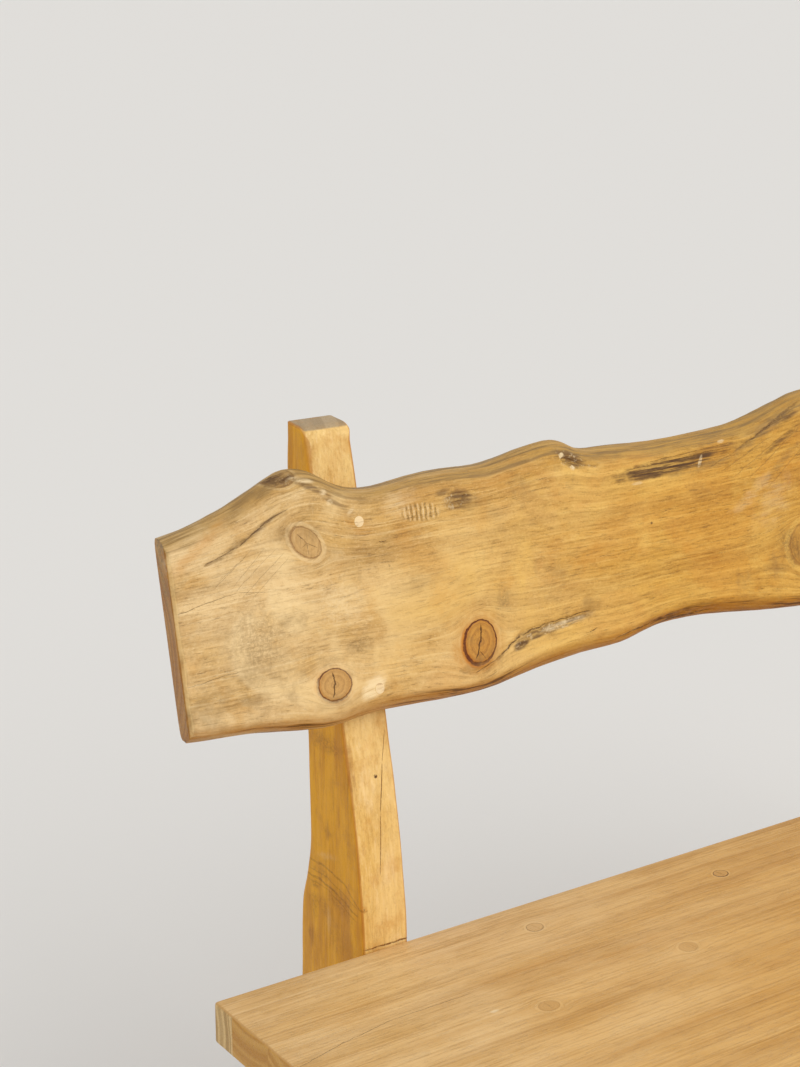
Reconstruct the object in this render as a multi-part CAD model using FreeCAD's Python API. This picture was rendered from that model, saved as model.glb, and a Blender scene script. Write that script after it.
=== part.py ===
import FreeCAD, Part
import math
import os

# Rustic bench: a live-edge back board on two shaped plank posts, with a glued-up seat in front of them.
# Each post runs down past the seat as the rear leg. A bearer, a front leg and a low side rail complete
# each end frame, and one long stretcher keyed with tusk wedges holds the two frames upright.
# X runs along the bench, Y points to the back and Z is up. The floor is Z = 0, and X = 0, Y = 0 is the
# middle of the box round the whole bench. Lengths are in millimetres and angles in degrees.

V = FreeCAD.Vector

# Seat panel
seat_length = 1500.0
seat_depth = 420.0
seat_height = 450.0
seat_thickness = 40.0
seat_ease = 3.0
# Widths of the glued staves from the back edge to the front one, as shares of the seat's depth
stave_width_shares = [0.076, 0.145, 0.119, 0.138, 0.131, 0.148, 0.119, 0.124]

# End frames, cut from one stock thickness
plank_stock = 50.0
frame_inset = 158.0
edge_ease = 3.0
seat_gap = 1.0
tenon_thickness = 16.0
joint_clearance = 0.2
overrun = 5.0

# Post and rear leg in one piece
post_rise = 475.0
post_hip_depth = 112.0
sweep_radius = 860.0
rake_angle = 12.55
post_top_round = 15.0
# The post's sawn top rises to the back by this angle
post_top_slope = 4.4
knee_margin = 20.0
knee_radius = 500.0
splay_angle = 11.0
# Depth of the leg below the seat top: share of the seat height down, share of the hip depth
leg_depth_shares = [(1.0, 0.73), (0.73, 0.77), (0.51, 0.85), (0.31, 0.975), (0.07, 1.0)]
# Depth of the post above the seat top: share of the rise, share of the hip depth
post_depth_shares = [
    (0.006, 0.97),
    (0.057, 0.912),
    (0.112, 0.82),
    (0.162, 0.76),
    (0.253, 0.69),
    (0.394, 0.60),
    (0.653, 0.488),
    (0.914, 0.376),
    (1.0, 0.29),
]

# Front leg
front_leg_setback = 45.0
front_leg_depth = 100.0
front_foot_depth = 72.0

# Seat bearer, tenoned into the post and the front leg
bearer_height = 90.0
bearer_thickness = 44.0
bearer_arch = 12.0
bearer_tenon_length = 60.0
bearer_tenon_height = 56.0
bearer_haunch = 18.0

# Chamfers along the bearers, side rails and stretcher
rail_ease = 2.0

# Low side rail, tenoned into both legs
side_rail_height = 80.0
side_rail_thickness = 36.0
side_rail_centre = 120.0
side_rail_tenon_length = 42.0
side_rail_tenon_height = 46.0

# Long stretcher, through both side rails
stretcher_height = 70.0
stretcher_thickness = 34.0
stretcher_tenon_height = 40.0
stretcher_tenon_thickness = 24.0
stretcher_horn = 56.0

# Tusk wedges that key the stretcher
wedge_height = 88.0
wedge_thickness = 11.0
wedge_foot_width = 18.0
wedge_head_width = 25.0
wedge_draw = 2.0
wedge_below_share = 0.45

# Pegs through the tenons
peg_diameter = 12.0
peg_sides = 8

# Back board: a flat-sawn blank whose edges keep the outline of the trunk
board_overhang = 10.0
board_length = seat_length + 2 * board_overhang
board_width = 235.0
board_thickness = 33.0
board_rise = 220.0
board_back_round = 2.0
# The sawn ends lean in from the front face to the back one by this much
board_end_slant = 7.0
# The board's edges from its left end: share of the length, then low edge, high edge, low wane and high
# wane as shares of the blank's width. A wane is the round from the outline to the front face.
board_edge_shares = [
    (0.0000, 0.074, 0.826, 0.040, 0.055),
    (0.0230, 0.060, 0.857, 0.045, 0.070),
    (0.0461, 0.047, 0.902, 0.055, 0.090),
    (0.0658, 0.028, 0.955, 0.060, 0.105),
    (0.0855, 0.009, 0.998, 0.065, 0.115),
    (0.1020, 0.006, 0.981, 0.070, 0.100),
    (0.1151, 0.017, 0.926, 0.070, 0.060),
    (0.1316, 0.022, 0.891, 0.065, 0.040),
    (0.1612, 0.013, 0.899, 0.060, 0.040),
    (0.1974, 0.006, 0.908, 0.060, 0.045),
    (0.2237, 0.018, 0.904, 0.065, 0.045),
    (0.2467, 0.038, 0.928, 0.070, 0.060),
    (0.2697, 0.054, 0.949, 0.070, 0.075),
    (0.2895, 0.065, 0.942, 0.065, 0.080),
    (0.2993, 0.065, 0.911, 0.060, 0.065),
    (0.3224, 0.070, 0.894, 0.060, 0.070),
    (0.3421, 0.094, 0.886, 0.065, 0.080),
    (0.3717, 0.108, 0.882, 0.075, 0.085),
    (0.4079, 0.091, 0.890, 0.075, 0.085),
    (0.4408, 0.063, 0.906, 0.070, 0.075),
    (0.4671, 0.047, 0.943, 0.065, 0.070),
    (0.4901, 0.034, 0.981, 0.060, 0.075),
    (0.5230, 0.017, 1.000, 0.060, 0.085),
    (0.5658, 0.004, 0.974, 0.060, 0.075),
    (0.6118, 0.026, 0.923, 0.065, 0.060),
    (0.6579, 0.060, 0.898, 0.070, 0.055),
    (0.7039, 0.085, 0.919, 0.070, 0.060),
    (0.7368, 0.077, 0.962, 0.065, 0.075),
    (0.7632, 0.047, 0.936, 0.060, 0.065),
    (0.7961, 0.026, 0.902, 0.060, 0.050),
    (0.8421, 0.009, 0.915, 0.060, 0.045),
    (0.8816, 0.021, 0.953, 0.060, 0.060),
    (0.9079, 0.043, 0.979, 0.060, 0.080),
    (0.9342, 0.055, 0.936, 0.055, 0.070),
    (0.9671, 0.051, 0.877, 0.045, 0.055),
    (1.0000, 0.064, 0.826, 0.040, 0.045),
]
# The wane's round from the front face in: share of the board's thickness, share of the wane
wane_profile_shares = [(0.88, 0.60), (0.66, 0.24), (0.38, 0.0)]

# Screws through the board, under wooden plugs: places as shares of the blank's width
board_screw_shares = (0.123, 0.766)
plug_diameter = 10.0
plug_length = 9.0
board_screw_length = 60.0
board_screw_diameter = 6.0
board_screw_head_height = 3.0

# Hex-headed screws up through the bearers into the seat: places as shares of the bearer's clear span
seat_screw_shares = (0.18, 0.80)
seat_screw_length = 80.0
seat_screw_diameter = 8.0
seat_screw_head_flats = 13.0
seat_screw_head_height = 5.5
seat_screw_pocket = 20.0
seat_screw_bite = 27.0

# Levels
seat_top = seat_height
seat_under = seat_height - seat_thickness
bearer_under = seat_under - bearer_height
knee_top = bearer_under - knee_margin

# Run of a leg's inner edge, from its vertical stretch out to the floor
splay = math.radians(splay_angle)
knee_drop = knee_radius * math.sin(splay)
knee_shift = knee_radius * (1 - math.cos(splay))
foot_shift = knee_shift + (knee_top - knee_drop) * math.tan(splay)

# Places across the bench: the box round the whole runs from the seat's front edge to the rear heels
rear_foot_depth = post_hip_depth * leg_depth_shares[0][1]
back_reach = seat_gap + foot_shift + rear_foot_depth
seat_back_y = (seat_depth + back_reach) / 2 - back_reach
seat_front_y = seat_back_y - seat_depth
post_face_y = seat_back_y + seat_gap
front_leg_face_y = seat_front_y + front_leg_setback
front_leg_back_y = front_leg_face_y + front_leg_depth
frame_middle_x = seat_length / 2 - frame_inset - plank_stock / 2

# The raked stretch of the post's front edge, which carries the board
rake = math.radians(rake_angle)
rake_start_z = seat_under + sweep_radius * math.sin(rake)
rake_start_y = post_face_y + sweep_radius * (1 - math.cos(rake))
rake_base_y = rake_start_y - (rake_start_z - seat_top) * math.tan(rake)


# How far a leg's inner edge has run out at height z
def leg_run(z):
    drop = knee_top - z
    if drop <= 0:
        return 0.0
    if drop < knee_drop:
        return knee_radius - math.sqrt(knee_radius**2 - drop**2)
    return knee_shift + (drop - knee_drop) * math.tan(splay)


# How far the post's front edge has swept back at height z
def post_sweep(z):
    rise = z - seat_under
    if rise <= 0:
        return 0.0
    if z < rake_start_z:
        return sweep_radius - math.sqrt(sweep_radius**2 - rise**2)
    return rake_start_y - post_face_y + (z - rake_start_z) * math.tan(rake)


def post_front(z):
    return post_face_y + leg_run(z) + post_sweep(z)


def box_between(x0, x1, y0, y1, z0, z1):
    return Part.makeBox(x1 - x0, y1 - y0, z1 - z0, V(x0, y0, z0))


def rod(start, direction, length, diameter):
    return Part.makeCylinder(diameter / 2, length, start, direction)


def side_point(y, z):
    return V(0, y, z)


def straight(a, b):
    return Part.LineSegment(a, b).toShape()


# The knee's arc: leaves the vertical at knee_top and turns outwards, to the back (+1) or front (-1)
def knee_arc(edge_y, outwards):
    half = splay / 2
    middle_y = edge_y + outwards * knee_radius * (1 - math.cos(half))
    middle = side_point(middle_y, knee_top - knee_radius * math.sin(half))
    end = side_point(edge_y + outwards * knee_shift, knee_top - knee_drop)
    return Part.Arc(side_point(edge_y, knee_top), middle, end).toShape()


# A plank standing across the bench, from the edges of its side profile
def standing_plank(edges, middle_x):
    face = Part.Face(Part.Wire(edges))
    plank = face.extrude(V(plank_stock, 0, 0))
    plank.translate(V(middle_x - plank_stock / 2, 0, 0))
    return plank


# The edges round a plank's two flat sides
def outline_edges(plank, middle_x):
    side_xs = (middle_x - plank_stock / 2, middle_x + plank_stock / 2)
    found = []
    for edge in plank.Edges:
        box = edge.BoundBox
        flat = box.XMax - box.XMin < joint_clearance
        if flat and min(abs(box.XMin - x) for x in side_xs) < joint_clearance:
            found.append(edge)
    return found


def ease_outline(plank, middle_x):
    return plank.makeChamfer(edge_ease, outline_edges(plank, middle_x))


def post_profile():
    heel = side_point(post_front(0) + rear_foot_depth, 0)
    toe = side_point(post_front(0), 0)
    knee_end = side_point(post_face_y + knee_shift, knee_top - knee_drop)
    face_low = side_point(post_face_y, knee_top)
    face_high = side_point(post_face_y, seat_under)
    half = rake / 2
    sweep_y = post_face_y + sweep_radius * (1 - math.cos(half))
    sweep_middle = side_point(sweep_y, seat_under + sweep_radius * math.sin(half))
    rake_start = side_point(rake_start_y, rake_start_z)
    top_z = seat_top + post_rise
    top_front = side_point(post_front(top_z), top_z)
    stations = [(seat_top - share * seat_height, depth) for share, depth in leg_depth_shares]
    stations += [(seat_top + share * post_rise, depth) for share, depth in post_depth_shares[:-1]]
    back = [side_point(post_front(z) + depth * post_hip_depth, z) for z, depth in stations]
    top_depth = post_depth_shares[-1][1] * post_hip_depth
    top_back_z = top_z + top_depth * math.tan(math.radians(post_top_slope))
    back.append(side_point(post_front(top_z) + top_depth, top_back_z))
    back_curve = Part.BSplineCurve()
    back_curve.interpolate(back)
    return [
        straight(heel, toe),
        straight(toe, knee_end),
        knee_arc(post_face_y, 1),
        straight(face_low, face_high),
        Part.Arc(face_high, sweep_middle, rake_start).toShape(),
        straight(rake_start, top_front),
        straight(top_front, back[-1]),
        back_curve.toShape(),
    ]


# The top front arris of a post is rounded over more than its other edges
def round_post_top(plank):
    top_z = seat_top + post_rise
    front_y = post_front(top_z)
    for edge in plank.Edges:
        box = edge.BoundBox
        level = box.ZMin > top_z - joint_clearance
        along = box.XMax - box.XMin > plank_stock / 2
        if level and along and abs(box.YMin - front_y) < joint_clearance:
            return plank.makeFillet(post_top_round, [edge])
    return plank


def front_leg_profile():
    foot_back = side_point(front_leg_back_y - foot_shift, 0)
    foot_front = side_point(front_leg_back_y - foot_shift - front_foot_depth, 0)
    top_front = side_point(front_leg_face_y, seat_under)
    top_back = side_point(front_leg_back_y, seat_under)
    knee_start = side_point(front_leg_back_y, knee_top)
    knee_end = side_point(front_leg_back_y - knee_shift, knee_top - knee_drop)
    return [
        straight(foot_front, top_front),
        straight(top_front, top_back),
        straight(top_back, knee_start),
        knee_arc(front_leg_back_y, -1),
        straight(knee_end, foot_back),
        straight(foot_back, foot_front),
    ]


# A tenon that runs through its rail and out at both shoulders, or, with a clearance, its mortises
def tenon_bar(middle_x, y0, y1, z0, z1, clearance):
    half = tenon_thickness / 2 + clearance
    return box_between(middle_x - half, middle_x + half, y0 - clearance, y1 + clearance,
                       z0 - clearance, z1 + clearance)


def bearer_tenon(middle_x, clearance):
    high = seat_under - bearer_haunch
    return tenon_bar(middle_x, front_leg_back_y - bearer_tenon_length,
                     post_face_y + bearer_tenon_length, high - bearer_tenon_height, high, clearance)


def side_rail_ends(z):
    return front_leg_back_y - leg_run(z), post_face_y + leg_run(z)


def side_rail_tenon(middle_x, clearance):
    front, back = side_rail_ends(side_rail_centre)
    half = side_rail_tenon_height / 2
    return tenon_bar(middle_x, front - side_rail_tenon_length, back + side_rail_tenon_length,
                     side_rail_centre - half, side_rail_centre + half, clearance)


# Pegs run across the frame, through a leg and the tenon inside it
def peg_places():
    bearer_z = seat_under - bearer_haunch - bearer_tenon_height / 2
    front, back = side_rail_ends(side_rail_centre)
    return [
        (post_face_y + bearer_tenon_length / 2, bearer_z),
        (front_leg_back_y - bearer_tenon_length / 2, bearer_z),
        (back + side_rail_tenon_length / 2, side_rail_centre),
        (front - side_rail_tenon_length / 2, side_rail_centre),
    ]


def peg_rods(middle_x, clearance):
    start_x = middle_x - plank_stock / 2
    size = peg_diameter + 2 * clearance
    return [rod(V(start_x, y, z), V(1, 0, 0), plank_stock, size) for y, z in peg_places()]


# The pegs themselves are shaved to eight sides, their corners on the round of the peg
def shaved_pegs(middle_x):
    pegs = []
    for y, z in peg_places():
        corners = []
        for number in range(peg_sides + 1):
            angle = math.tau * number / peg_sides
            corner_y = y + peg_diameter / 2 * math.cos(angle)
            corner_z = z + peg_diameter / 2 * math.sin(angle)
            corners.append(V(middle_x - plank_stock / 2, corner_y, corner_z))
        pegs.append(Part.Face(Part.makePolygon(corners)).extrude(V(plank_stock, 0, 0)))
    return Part.makeCompound(pegs)


def frame_joint_cuts(middle_x):
    cuts = [bearer_tenon(middle_x, joint_clearance), side_rail_tenon(middle_x, joint_clearance)]
    return cuts + peg_rods(middle_x, joint_clearance)


# Shapes drawn upright against the board's back face, then leaned back with the posts:
# there, -Y is out of the board's front and Z runs up it from the level of the seat top
def lean(shape):
    shape.rotate(V(0, 0, 0), V(1, 0, 0), -rake_angle)
    shape.translate(V(0, rake_base_y, seat_top))
    return shape


# Rods on the axes of the screws through the board, between two depths from its back face
def board_fixing(middle_x, depth_from, depth_to, diameter):
    rods = []
    for share in board_screw_shares:
        start = V(middle_x, -depth_from, board_rise + share * board_width)
        rods.append(lean(rod(start, V(0, 1, 0), depth_from - depth_to, diameter)))
    return rods


# Depths along a board screw, out from the board's back face
head_top = board_thickness - plug_length
head_seat = head_top - board_screw_head_height
screw_tip = head_top - board_screw_length
head_diameter = plug_diameter - 2 * joint_clearance


def board_screws(middle_x):
    heads = board_fixing(middle_x, head_top, head_seat, head_diameter)
    shanks = board_fixing(middle_x, head_seat, screw_tip, board_screw_diameter)
    return Part.makeCompound([head.fuse(shank) for head, shank in zip(heads, shanks)])


def board_screw_holes(middle_x):
    bore = board_screw_diameter + 2 * joint_clearance
    holes = board_fixing(middle_x, board_thickness + overrun, head_seat, plug_diameter)
    return holes + board_fixing(middle_x, head_seat, screw_tip - joint_clearance, bore)


def board_plugs(middle_x):
    return Part.makeCompound(board_fixing(middle_x, board_thickness, head_top, plug_diameter))


# The board's lengthwise lines, each a smooth curve through its stations: round the low edge from the
# front arris to the back one, then round the high edge from the back arris to the front one
def board_lines():
    profile = [(1.0, 1.0)] + wane_profile_shares
    low_stations, high_stations = [], []
    for share, low_share, high_share, low_wane_share, high_wane_share in board_edge_shares:
        low = board_rise + low_share * board_width
        high = board_rise + high_share * board_width
        low_points, high_points = [], []
        for depth, drop in profile:
            x = (share - 0.5) * (board_length - 2 * board_end_slant * (1 - depth))
            y = -depth * board_thickness
            low_points.append(V(x, y, low + drop * low_wane_share * board_width))
            high_points.append(V(x, y, high - drop * high_wane_share * board_width))
        back_x = (share - 0.5) * (board_length - 2 * board_end_slant)
        low_stations.append(low_points + [V(back_x, 0, low + board_back_round)])
        high_stations.append(high_points + [V(back_x, 0, high - board_back_round)])
    lines = []
    for points in list(zip(*low_stations)) + list(zip(*high_stations))[::-1]:
        curve = Part.BSplineCurve()
        curve.interpolate(list(points))
        lines.append(curve)
    return lines


# A flat face of the board lies between two of its lines and the sawn ends
def flat_between(line, beside):
    left_end = straight(line.StartPoint, beside.StartPoint)
    right_end = straight(line.EndPoint, beside.EndPoint)
    return Part.Face(Part.Wire([line.toShape(), right_end, beside.toShape(), left_end]))


# Flat front and back faces, narrow strips round the two waney edges, and two sawn ends
def board_blank():
    lines = board_lines()
    half = len(lines) // 2
    low_lines, high_lines = lines[:half], lines[half:]
    faces = [
        flat_between(low_lines[-1], high_lines[0]),
        flat_between(high_lines[-1], low_lines[0]),
        Part.Face(Part.makePolygon([line.StartPoint for line in lines + lines[:1]])),
        Part.Face(Part.makePolygon([line.EndPoint for line in lines + lines[:1]])),
    ]
    for edge_lines in (low_lines, high_lines):
        for line, beside in zip(edge_lines, edge_lines[1:]):
            faces.append(Part.makeRuledSurface(line.toShape(), beside.toShape()))
    shell = Part.makeShell(faces)
    shell.sewShape()
    return Part.Solid(shell)


def make_backrest_board():
    board = lean(board_blank())
    for side in (-1, 1):
        for hole in board_screw_holes(side * frame_middle_x):
            board = board.cut(hole)
    return board


def make_rear_post(middle_x):
    post = standing_plank(post_profile(), middle_x)
    post = ease_outline(round_post_top(post), middle_x)
    return post.cut(frame_joint_cuts(middle_x) + board_screw_holes(middle_x))


def make_front_leg(middle_x):
    leg = ease_outline(standing_plank(front_leg_profile(), middle_x), middle_x)
    return leg.cut(frame_joint_cuts(middle_x))


# Takes the arrises off the long edges of a rail, those lying below a level
def ease_rail(rail, level):
    box = rail.BoundBox
    reach = max(box.XLength, box.YLength) / 2
    found = []
    for edge in rail.Edges:
        span = max(edge.BoundBox.XLength, edge.BoundBox.YLength)
        if span > reach and edge.BoundBox.ZMin < level - joint_clearance:
            found.append(edge)
    return rail.makeChamfer(rail_ease, found)


def seat_screw_places():
    clear_span = post_face_y - front_leg_back_y
    return [front_leg_back_y + share * clear_span for share in seat_screw_shares]


seat_screw_tip = seat_under + seat_screw_bite
seat_screw_head_seat = seat_screw_tip - seat_screw_length


def seat_screw_holes(middle_x):
    bore = seat_screw_diameter + 2 * joint_clearance
    pocket_floor = bearer_under - overrun
    cuts = []
    for y in seat_screw_places():
        bore_length = seat_screw_tip + joint_clearance - seat_screw_head_seat
        cuts.append(rod(V(middle_x, y, seat_screw_head_seat), V(0, 0, 1), bore_length, bore))
        pocket_length = seat_screw_head_seat - pocket_floor
        cuts.append(rod(V(middle_x, y, pocket_floor), V(0, 0, 1), pocket_length, seat_screw_pocket))
    return cuts


def hex_head(middle_x, middle_y, low):
    corner_radius = seat_screw_head_flats / 2 / math.cos(math.radians(30))
    corners = []
    for degrees in range(0, 361, 60):
        angle = math.radians(degrees)
        across = corner_radius * math.cos(angle)
        corners.append(V(middle_x + across, middle_y + corner_radius * math.sin(angle), low))
    return Part.Face(Part.makePolygon(corners)).extrude(V(0, 0, seat_screw_head_height))


def make_seat_screws(middle_x):
    screws = []
    for y in seat_screw_places():
        head = hex_head(middle_x, y, seat_screw_head_seat - seat_screw_head_height)
        shank_low = V(middle_x, y, seat_screw_head_seat)
        shank_length = seat_screw_tip - seat_screw_head_seat
        screws.append(head.fuse(rod(shank_low, V(0, 0, 1), shank_length, seat_screw_diameter)))
    return Part.makeCompound(screws)


# The bearer's underside is hollowed by a shallow arch
def make_seat_bearer(middle_x):
    front, back = front_leg_back_y, post_face_y
    middle_y = (front + back) / 2
    arch_top = side_point(middle_y, bearer_under + bearer_arch)
    low_front = side_point(front, bearer_under)
    low_back = side_point(back, bearer_under)
    high_front = side_point(front, seat_under)
    high_back = side_point(back, seat_under)
    edges = [
        Part.Arc(low_front, arch_top, low_back).toShape(),
        straight(low_back, high_back),
        straight(high_back, high_front),
        straight(high_front, low_front),
    ]
    bearer = Part.Face(Part.Wire(edges)).extrude(V(bearer_thickness, 0, 0))
    bearer.translate(V(middle_x - bearer_thickness / 2, 0, 0))
    bearer = ease_rail(bearer, seat_under)
    bearer = bearer.fuse(bearer_tenon(middle_x, 0))
    cuts = seat_screw_holes(middle_x) + peg_rods(middle_x, joint_clearance)
    return bearer.cut(cuts)


# The stretcher runs midway between the legs, through both side rails
rail_outer_x = frame_middle_x + side_rail_thickness / 2
rail_inner_x = frame_middle_x - side_rail_thickness / 2
stretcher_y = sum(side_rail_ends(side_rail_centre)) / 2


def stretcher_tenon(clearance):
    half_x = rail_outer_x + stretcher_horn
    half_y = stretcher_tenon_thickness / 2 + clearance
    half_z = stretcher_tenon_height / 2 + clearance
    return box_between(-half_x, half_x, stretcher_y - half_y, stretcher_y + half_y,
                       side_rail_centre - half_z, side_rail_centre + half_z)


# The side rail's shoulders follow the slope of the two legs
def make_side_rail(middle_x):
    low = side_rail_centre - side_rail_height / 2
    high = side_rail_centre + side_rail_height / 2
    low_front, low_back = side_rail_ends(low)
    high_front, high_back = side_rail_ends(high)
    corners = [
        side_point(low_front, low),
        side_point(low_back, low),
        side_point(high_back, high),
        side_point(high_front, high),
        side_point(low_front, low),
    ]
    rail = Part.Face(Part.makePolygon(corners)).extrude(V(side_rail_thickness, 0, 0))
    rail.translate(V(middle_x - side_rail_thickness / 2, 0, 0))
    rail = ease_rail(rail, seat_under)
    rail = rail.fuse(side_rail_tenon(middle_x, 0))
    return rail.cut([stretcher_tenon(joint_clearance)] + peg_rods(middle_x, joint_clearance))


# A tusk wedge bears on the side rail's outer face and tapers towards its foot
def wedge_between(side, inner_x, clearance):
    low = side_rail_centre - wedge_below_share * wedge_height
    high = low + wedge_height
    half_y = wedge_thickness / 2 + clearance
    front_y = stretcher_y - half_y
    corners = [
        V(side * inner_x, front_y, low),
        V(side * (rail_outer_x + wedge_foot_width), front_y, low),
        V(side * (rail_outer_x + wedge_head_width), front_y, high),
        V(side * inner_x, front_y, high),
        V(side * inner_x, front_y, low),
    ]
    return Part.Face(Part.makePolygon(corners)).extrude(V(0, 2 * half_y, 0))


def make_stretcher():
    half_y = stretcher_thickness / 2
    half_z = stretcher_height / 2
    body = box_between(-rail_inner_x, rail_inner_x, stretcher_y - half_y, stretcher_y + half_y,
                       side_rail_centre - half_z, side_rail_centre + half_z)
    stretcher = ease_rail(body, seat_under).fuse(stretcher_tenon(0))
    slots = [wedge_between(side, rail_outer_x - wedge_draw, joint_clearance) for side in (-1, 1)]
    return stretcher.cut(slots)


# The seat is one eased panel, ripped into its glued staves
def make_seat_staves():
    panel = box_between(-seat_length / 2, seat_length / 2, seat_front_y, seat_back_y,
                        seat_under, seat_top)
    panel = panel.makeChamfer(seat_ease, panel.Edges)
    holes = seat_screw_holes(-frame_middle_x) + seat_screw_holes(frame_middle_x)
    panel = panel.cut(holes)
    staves = {}
    back = seat_back_y
    last = len(stave_width_shares)
    for number, share in enumerate(stave_width_shares, 1):
        front = back - share * seat_depth
        slab_back = back + overrun if number == 1 else back
        slab_front = seat_front_y - overrun if number == last else front
        slab = box_between(-seat_length / 2 - overrun, seat_length / 2 + overrun, slab_front,
                           slab_back, seat_under - overrun, seat_top + overrun)
        staves[f"seat_stave_{number}"] = panel.common(slab)
        back = front
    return staves


def make_parts():
    parts = make_seat_staves()
    parts["backrest_board"] = make_backrest_board()
    parts["long_stretcher"] = make_stretcher()
    for side, name in ((-1, "left"), (1, "right")):
        middle_x = side * frame_middle_x
        parts[f"{name}_rear_post"] = make_rear_post(middle_x)
        parts[f"{name}_front_leg"] = make_front_leg(middle_x)
        parts[f"{name}_seat_bearer"] = make_seat_bearer(middle_x)
        parts[f"{name}_side_rail"] = make_side_rail(middle_x)
        parts[f"{name}_tusk_wedge"] = wedge_between(side, rail_outer_x, 0)
        parts[f"{name}_frame_pegs"] = shaved_pegs(middle_x)
        parts[f"{name}_board_screws"] = board_screws(middle_x)
        parts[f"{name}_board_plugs"] = board_plugs(middle_x)
        parts[f"{name}_seat_screws"] = make_seat_screws(middle_x)
    return parts


os.makedirs("parts", exist_ok=True)
for node, shape in make_parts().items():
    shape.exportStep(f"parts/{node}.step")
    print(node, shape.isValid(), len(shape.Solids), round(shape.Volume / 1000), "cm3")
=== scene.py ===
import bpy
import bmesh
import math
import numpy as np
from mathutils import Matrix, Vector
from mathutils.bvhtree import BVHTree


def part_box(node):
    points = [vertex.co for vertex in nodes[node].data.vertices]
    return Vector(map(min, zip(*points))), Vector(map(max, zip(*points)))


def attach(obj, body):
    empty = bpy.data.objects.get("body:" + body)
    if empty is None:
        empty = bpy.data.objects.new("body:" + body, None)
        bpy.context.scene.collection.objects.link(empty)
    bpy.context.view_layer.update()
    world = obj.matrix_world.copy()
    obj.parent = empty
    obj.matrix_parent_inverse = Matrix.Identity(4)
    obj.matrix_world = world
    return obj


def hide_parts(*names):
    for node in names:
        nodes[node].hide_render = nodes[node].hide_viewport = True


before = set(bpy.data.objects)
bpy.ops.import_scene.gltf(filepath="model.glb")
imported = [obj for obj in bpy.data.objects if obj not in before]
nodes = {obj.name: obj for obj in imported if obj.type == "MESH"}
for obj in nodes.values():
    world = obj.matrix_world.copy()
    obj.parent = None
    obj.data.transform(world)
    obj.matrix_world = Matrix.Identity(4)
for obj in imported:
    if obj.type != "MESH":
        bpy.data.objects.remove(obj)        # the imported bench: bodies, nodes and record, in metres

# A rustic bench: a live-edge back board on two shaped plank posts, and a glued-up seat.
# X runs along the bench, Y to the back, Z up. Sizes here are in millimetres times mm.

mm = 0.001
alongX, alongY, alongZ = Vector((1, 0, 0)), Vector((0, 1, 0)), Vector((0, 0, 1))
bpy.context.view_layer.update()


def tone(red, green, blue):  # a colour as it should look, 0 to 255, made linear
    def linear(value):
        value /= 255
        return value / 12.92 if value <= 0.04045 else ((value + 0.055) / 1.055) ** 2.4
    return (linear(red), linear(green), linear(blue), 1.0)


def makeLook(base=None, **values):  # a look on top of another, where three numbers are a colour
    return {**(base or {}), **{key: tone(*value) if isinstance(value, tuple) and len(value) == 3 else value
                               for key, value in values.items()}}


# Mesh helpers

def addObject(name, data):
    obj = bpy.data.objects.new(name, data)
    bpy.context.scene.collection.objects.link(obj)
    return obj


def shadeSmooth(mesh, sharpFrom=None):  # edges that bend by more than sharpFrom degrees stay sharp
    for polygon in mesh.polygons:
        polygon.use_smooth = True
    if sharpFrom:
        mesh.set_sharp_from_angle(angle=math.radians(sharpFrom))


def newPiece(name, points, faces, material):
    mesh = bpy.data.meshes.new(name)
    mesh.from_pydata([tuple(p) for p in points], [], faces)
    mesh.update()
    mesh.materials.append(material)
    return addObject(name, mesh)


def addShape(name, plan):
    mesh = bpy.data.meshes.new(name)
    plan.to_mesh(mesh)
    plan.free()
    return addObject(name, mesh)


def pieceName(node, before=""):  # left_rear_post becomes leftRearPost, or oiledLeftRearPost
    words = node.title().replace("_", "")
    return before + words if before else words[0].lower() + words[1:]


def dressNode(name, material):
    nodes[name].data.materials.clear()
    nodes[name].data.materials.append(material)


def handOver(piece, node):  # every piece rides on the bench's one body
    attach(piece, "root")
    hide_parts(node)


def tubeFaces(rings, count, outwards=True):  # faces of a closed tube of rings, with both ends capped
    faces = []
    for i in range(rings - 1):
        for j in range(count):
            k = (j + 1) % count
            corners = (i * count + j, (i + 1) * count + j, (i + 1) * count + k, i * count + k)
            faces.append(corners if outwards else (corners[0], corners[3], corners[2], corners[1]))
    ends = tuple(range(count)), tuple((rings - 1) * count + j for j in range(count))
    return faces + ([ends[0], ends[1][::-1]] if outwards else [ends[0][::-1], ends[1]])


def surfaceOf(node):  # a ray can ask this where the CAD solid's surface lies
    mesh = nodes[node].data
    points = [v.co.copy() for v in mesh.vertices]
    return BVHTree.FromPolygons(points, [tuple(p.vertices) for p in mesh.polygons])


# Camera at the photograph's place: 1.3 m up, off the left end, looking down along the bench

camera = {
    "place": (-1.50276, -1.25058, 1.31553),
    "pitchDown": 15.599,
    "yaw": 34.267,  # from straight back towards the right
    "lens": 67.48,
    "sensor": 36.0,
}


def setCamera():
    data = bpy.data.cameras.new("benchCamera")
    data.sensor_fit = "AUTO"
    data.sensor_width = camera["sensor"]
    data.lens = camera["lens"]
    obj = addObject("benchCamera", data)
    obj.location = camera["place"]
    obj.rotation_euler = (math.radians(90 - camera["pitchDown"]), 0, -math.radians(camera["yaw"]))
    bpy.context.scene.camera = obj


# Light: one broad lamp from the front right, the rest from the world

light = {
    "worldTone": (1.0, 0.99, 0.975, 1.0),
    "worldStrength": 0.66,
    "lampTone": (1.0, 0.975, 0.94),
    "lampStrength": 1.6,
    "lampSpread": 50,  # degrees across, for soft shadows
    "lampFrom": (0.35, -1.15, 0.95),
    "backdropTone": tone(227, 226, 224),
    "floorSize": 900.0,
}


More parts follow.
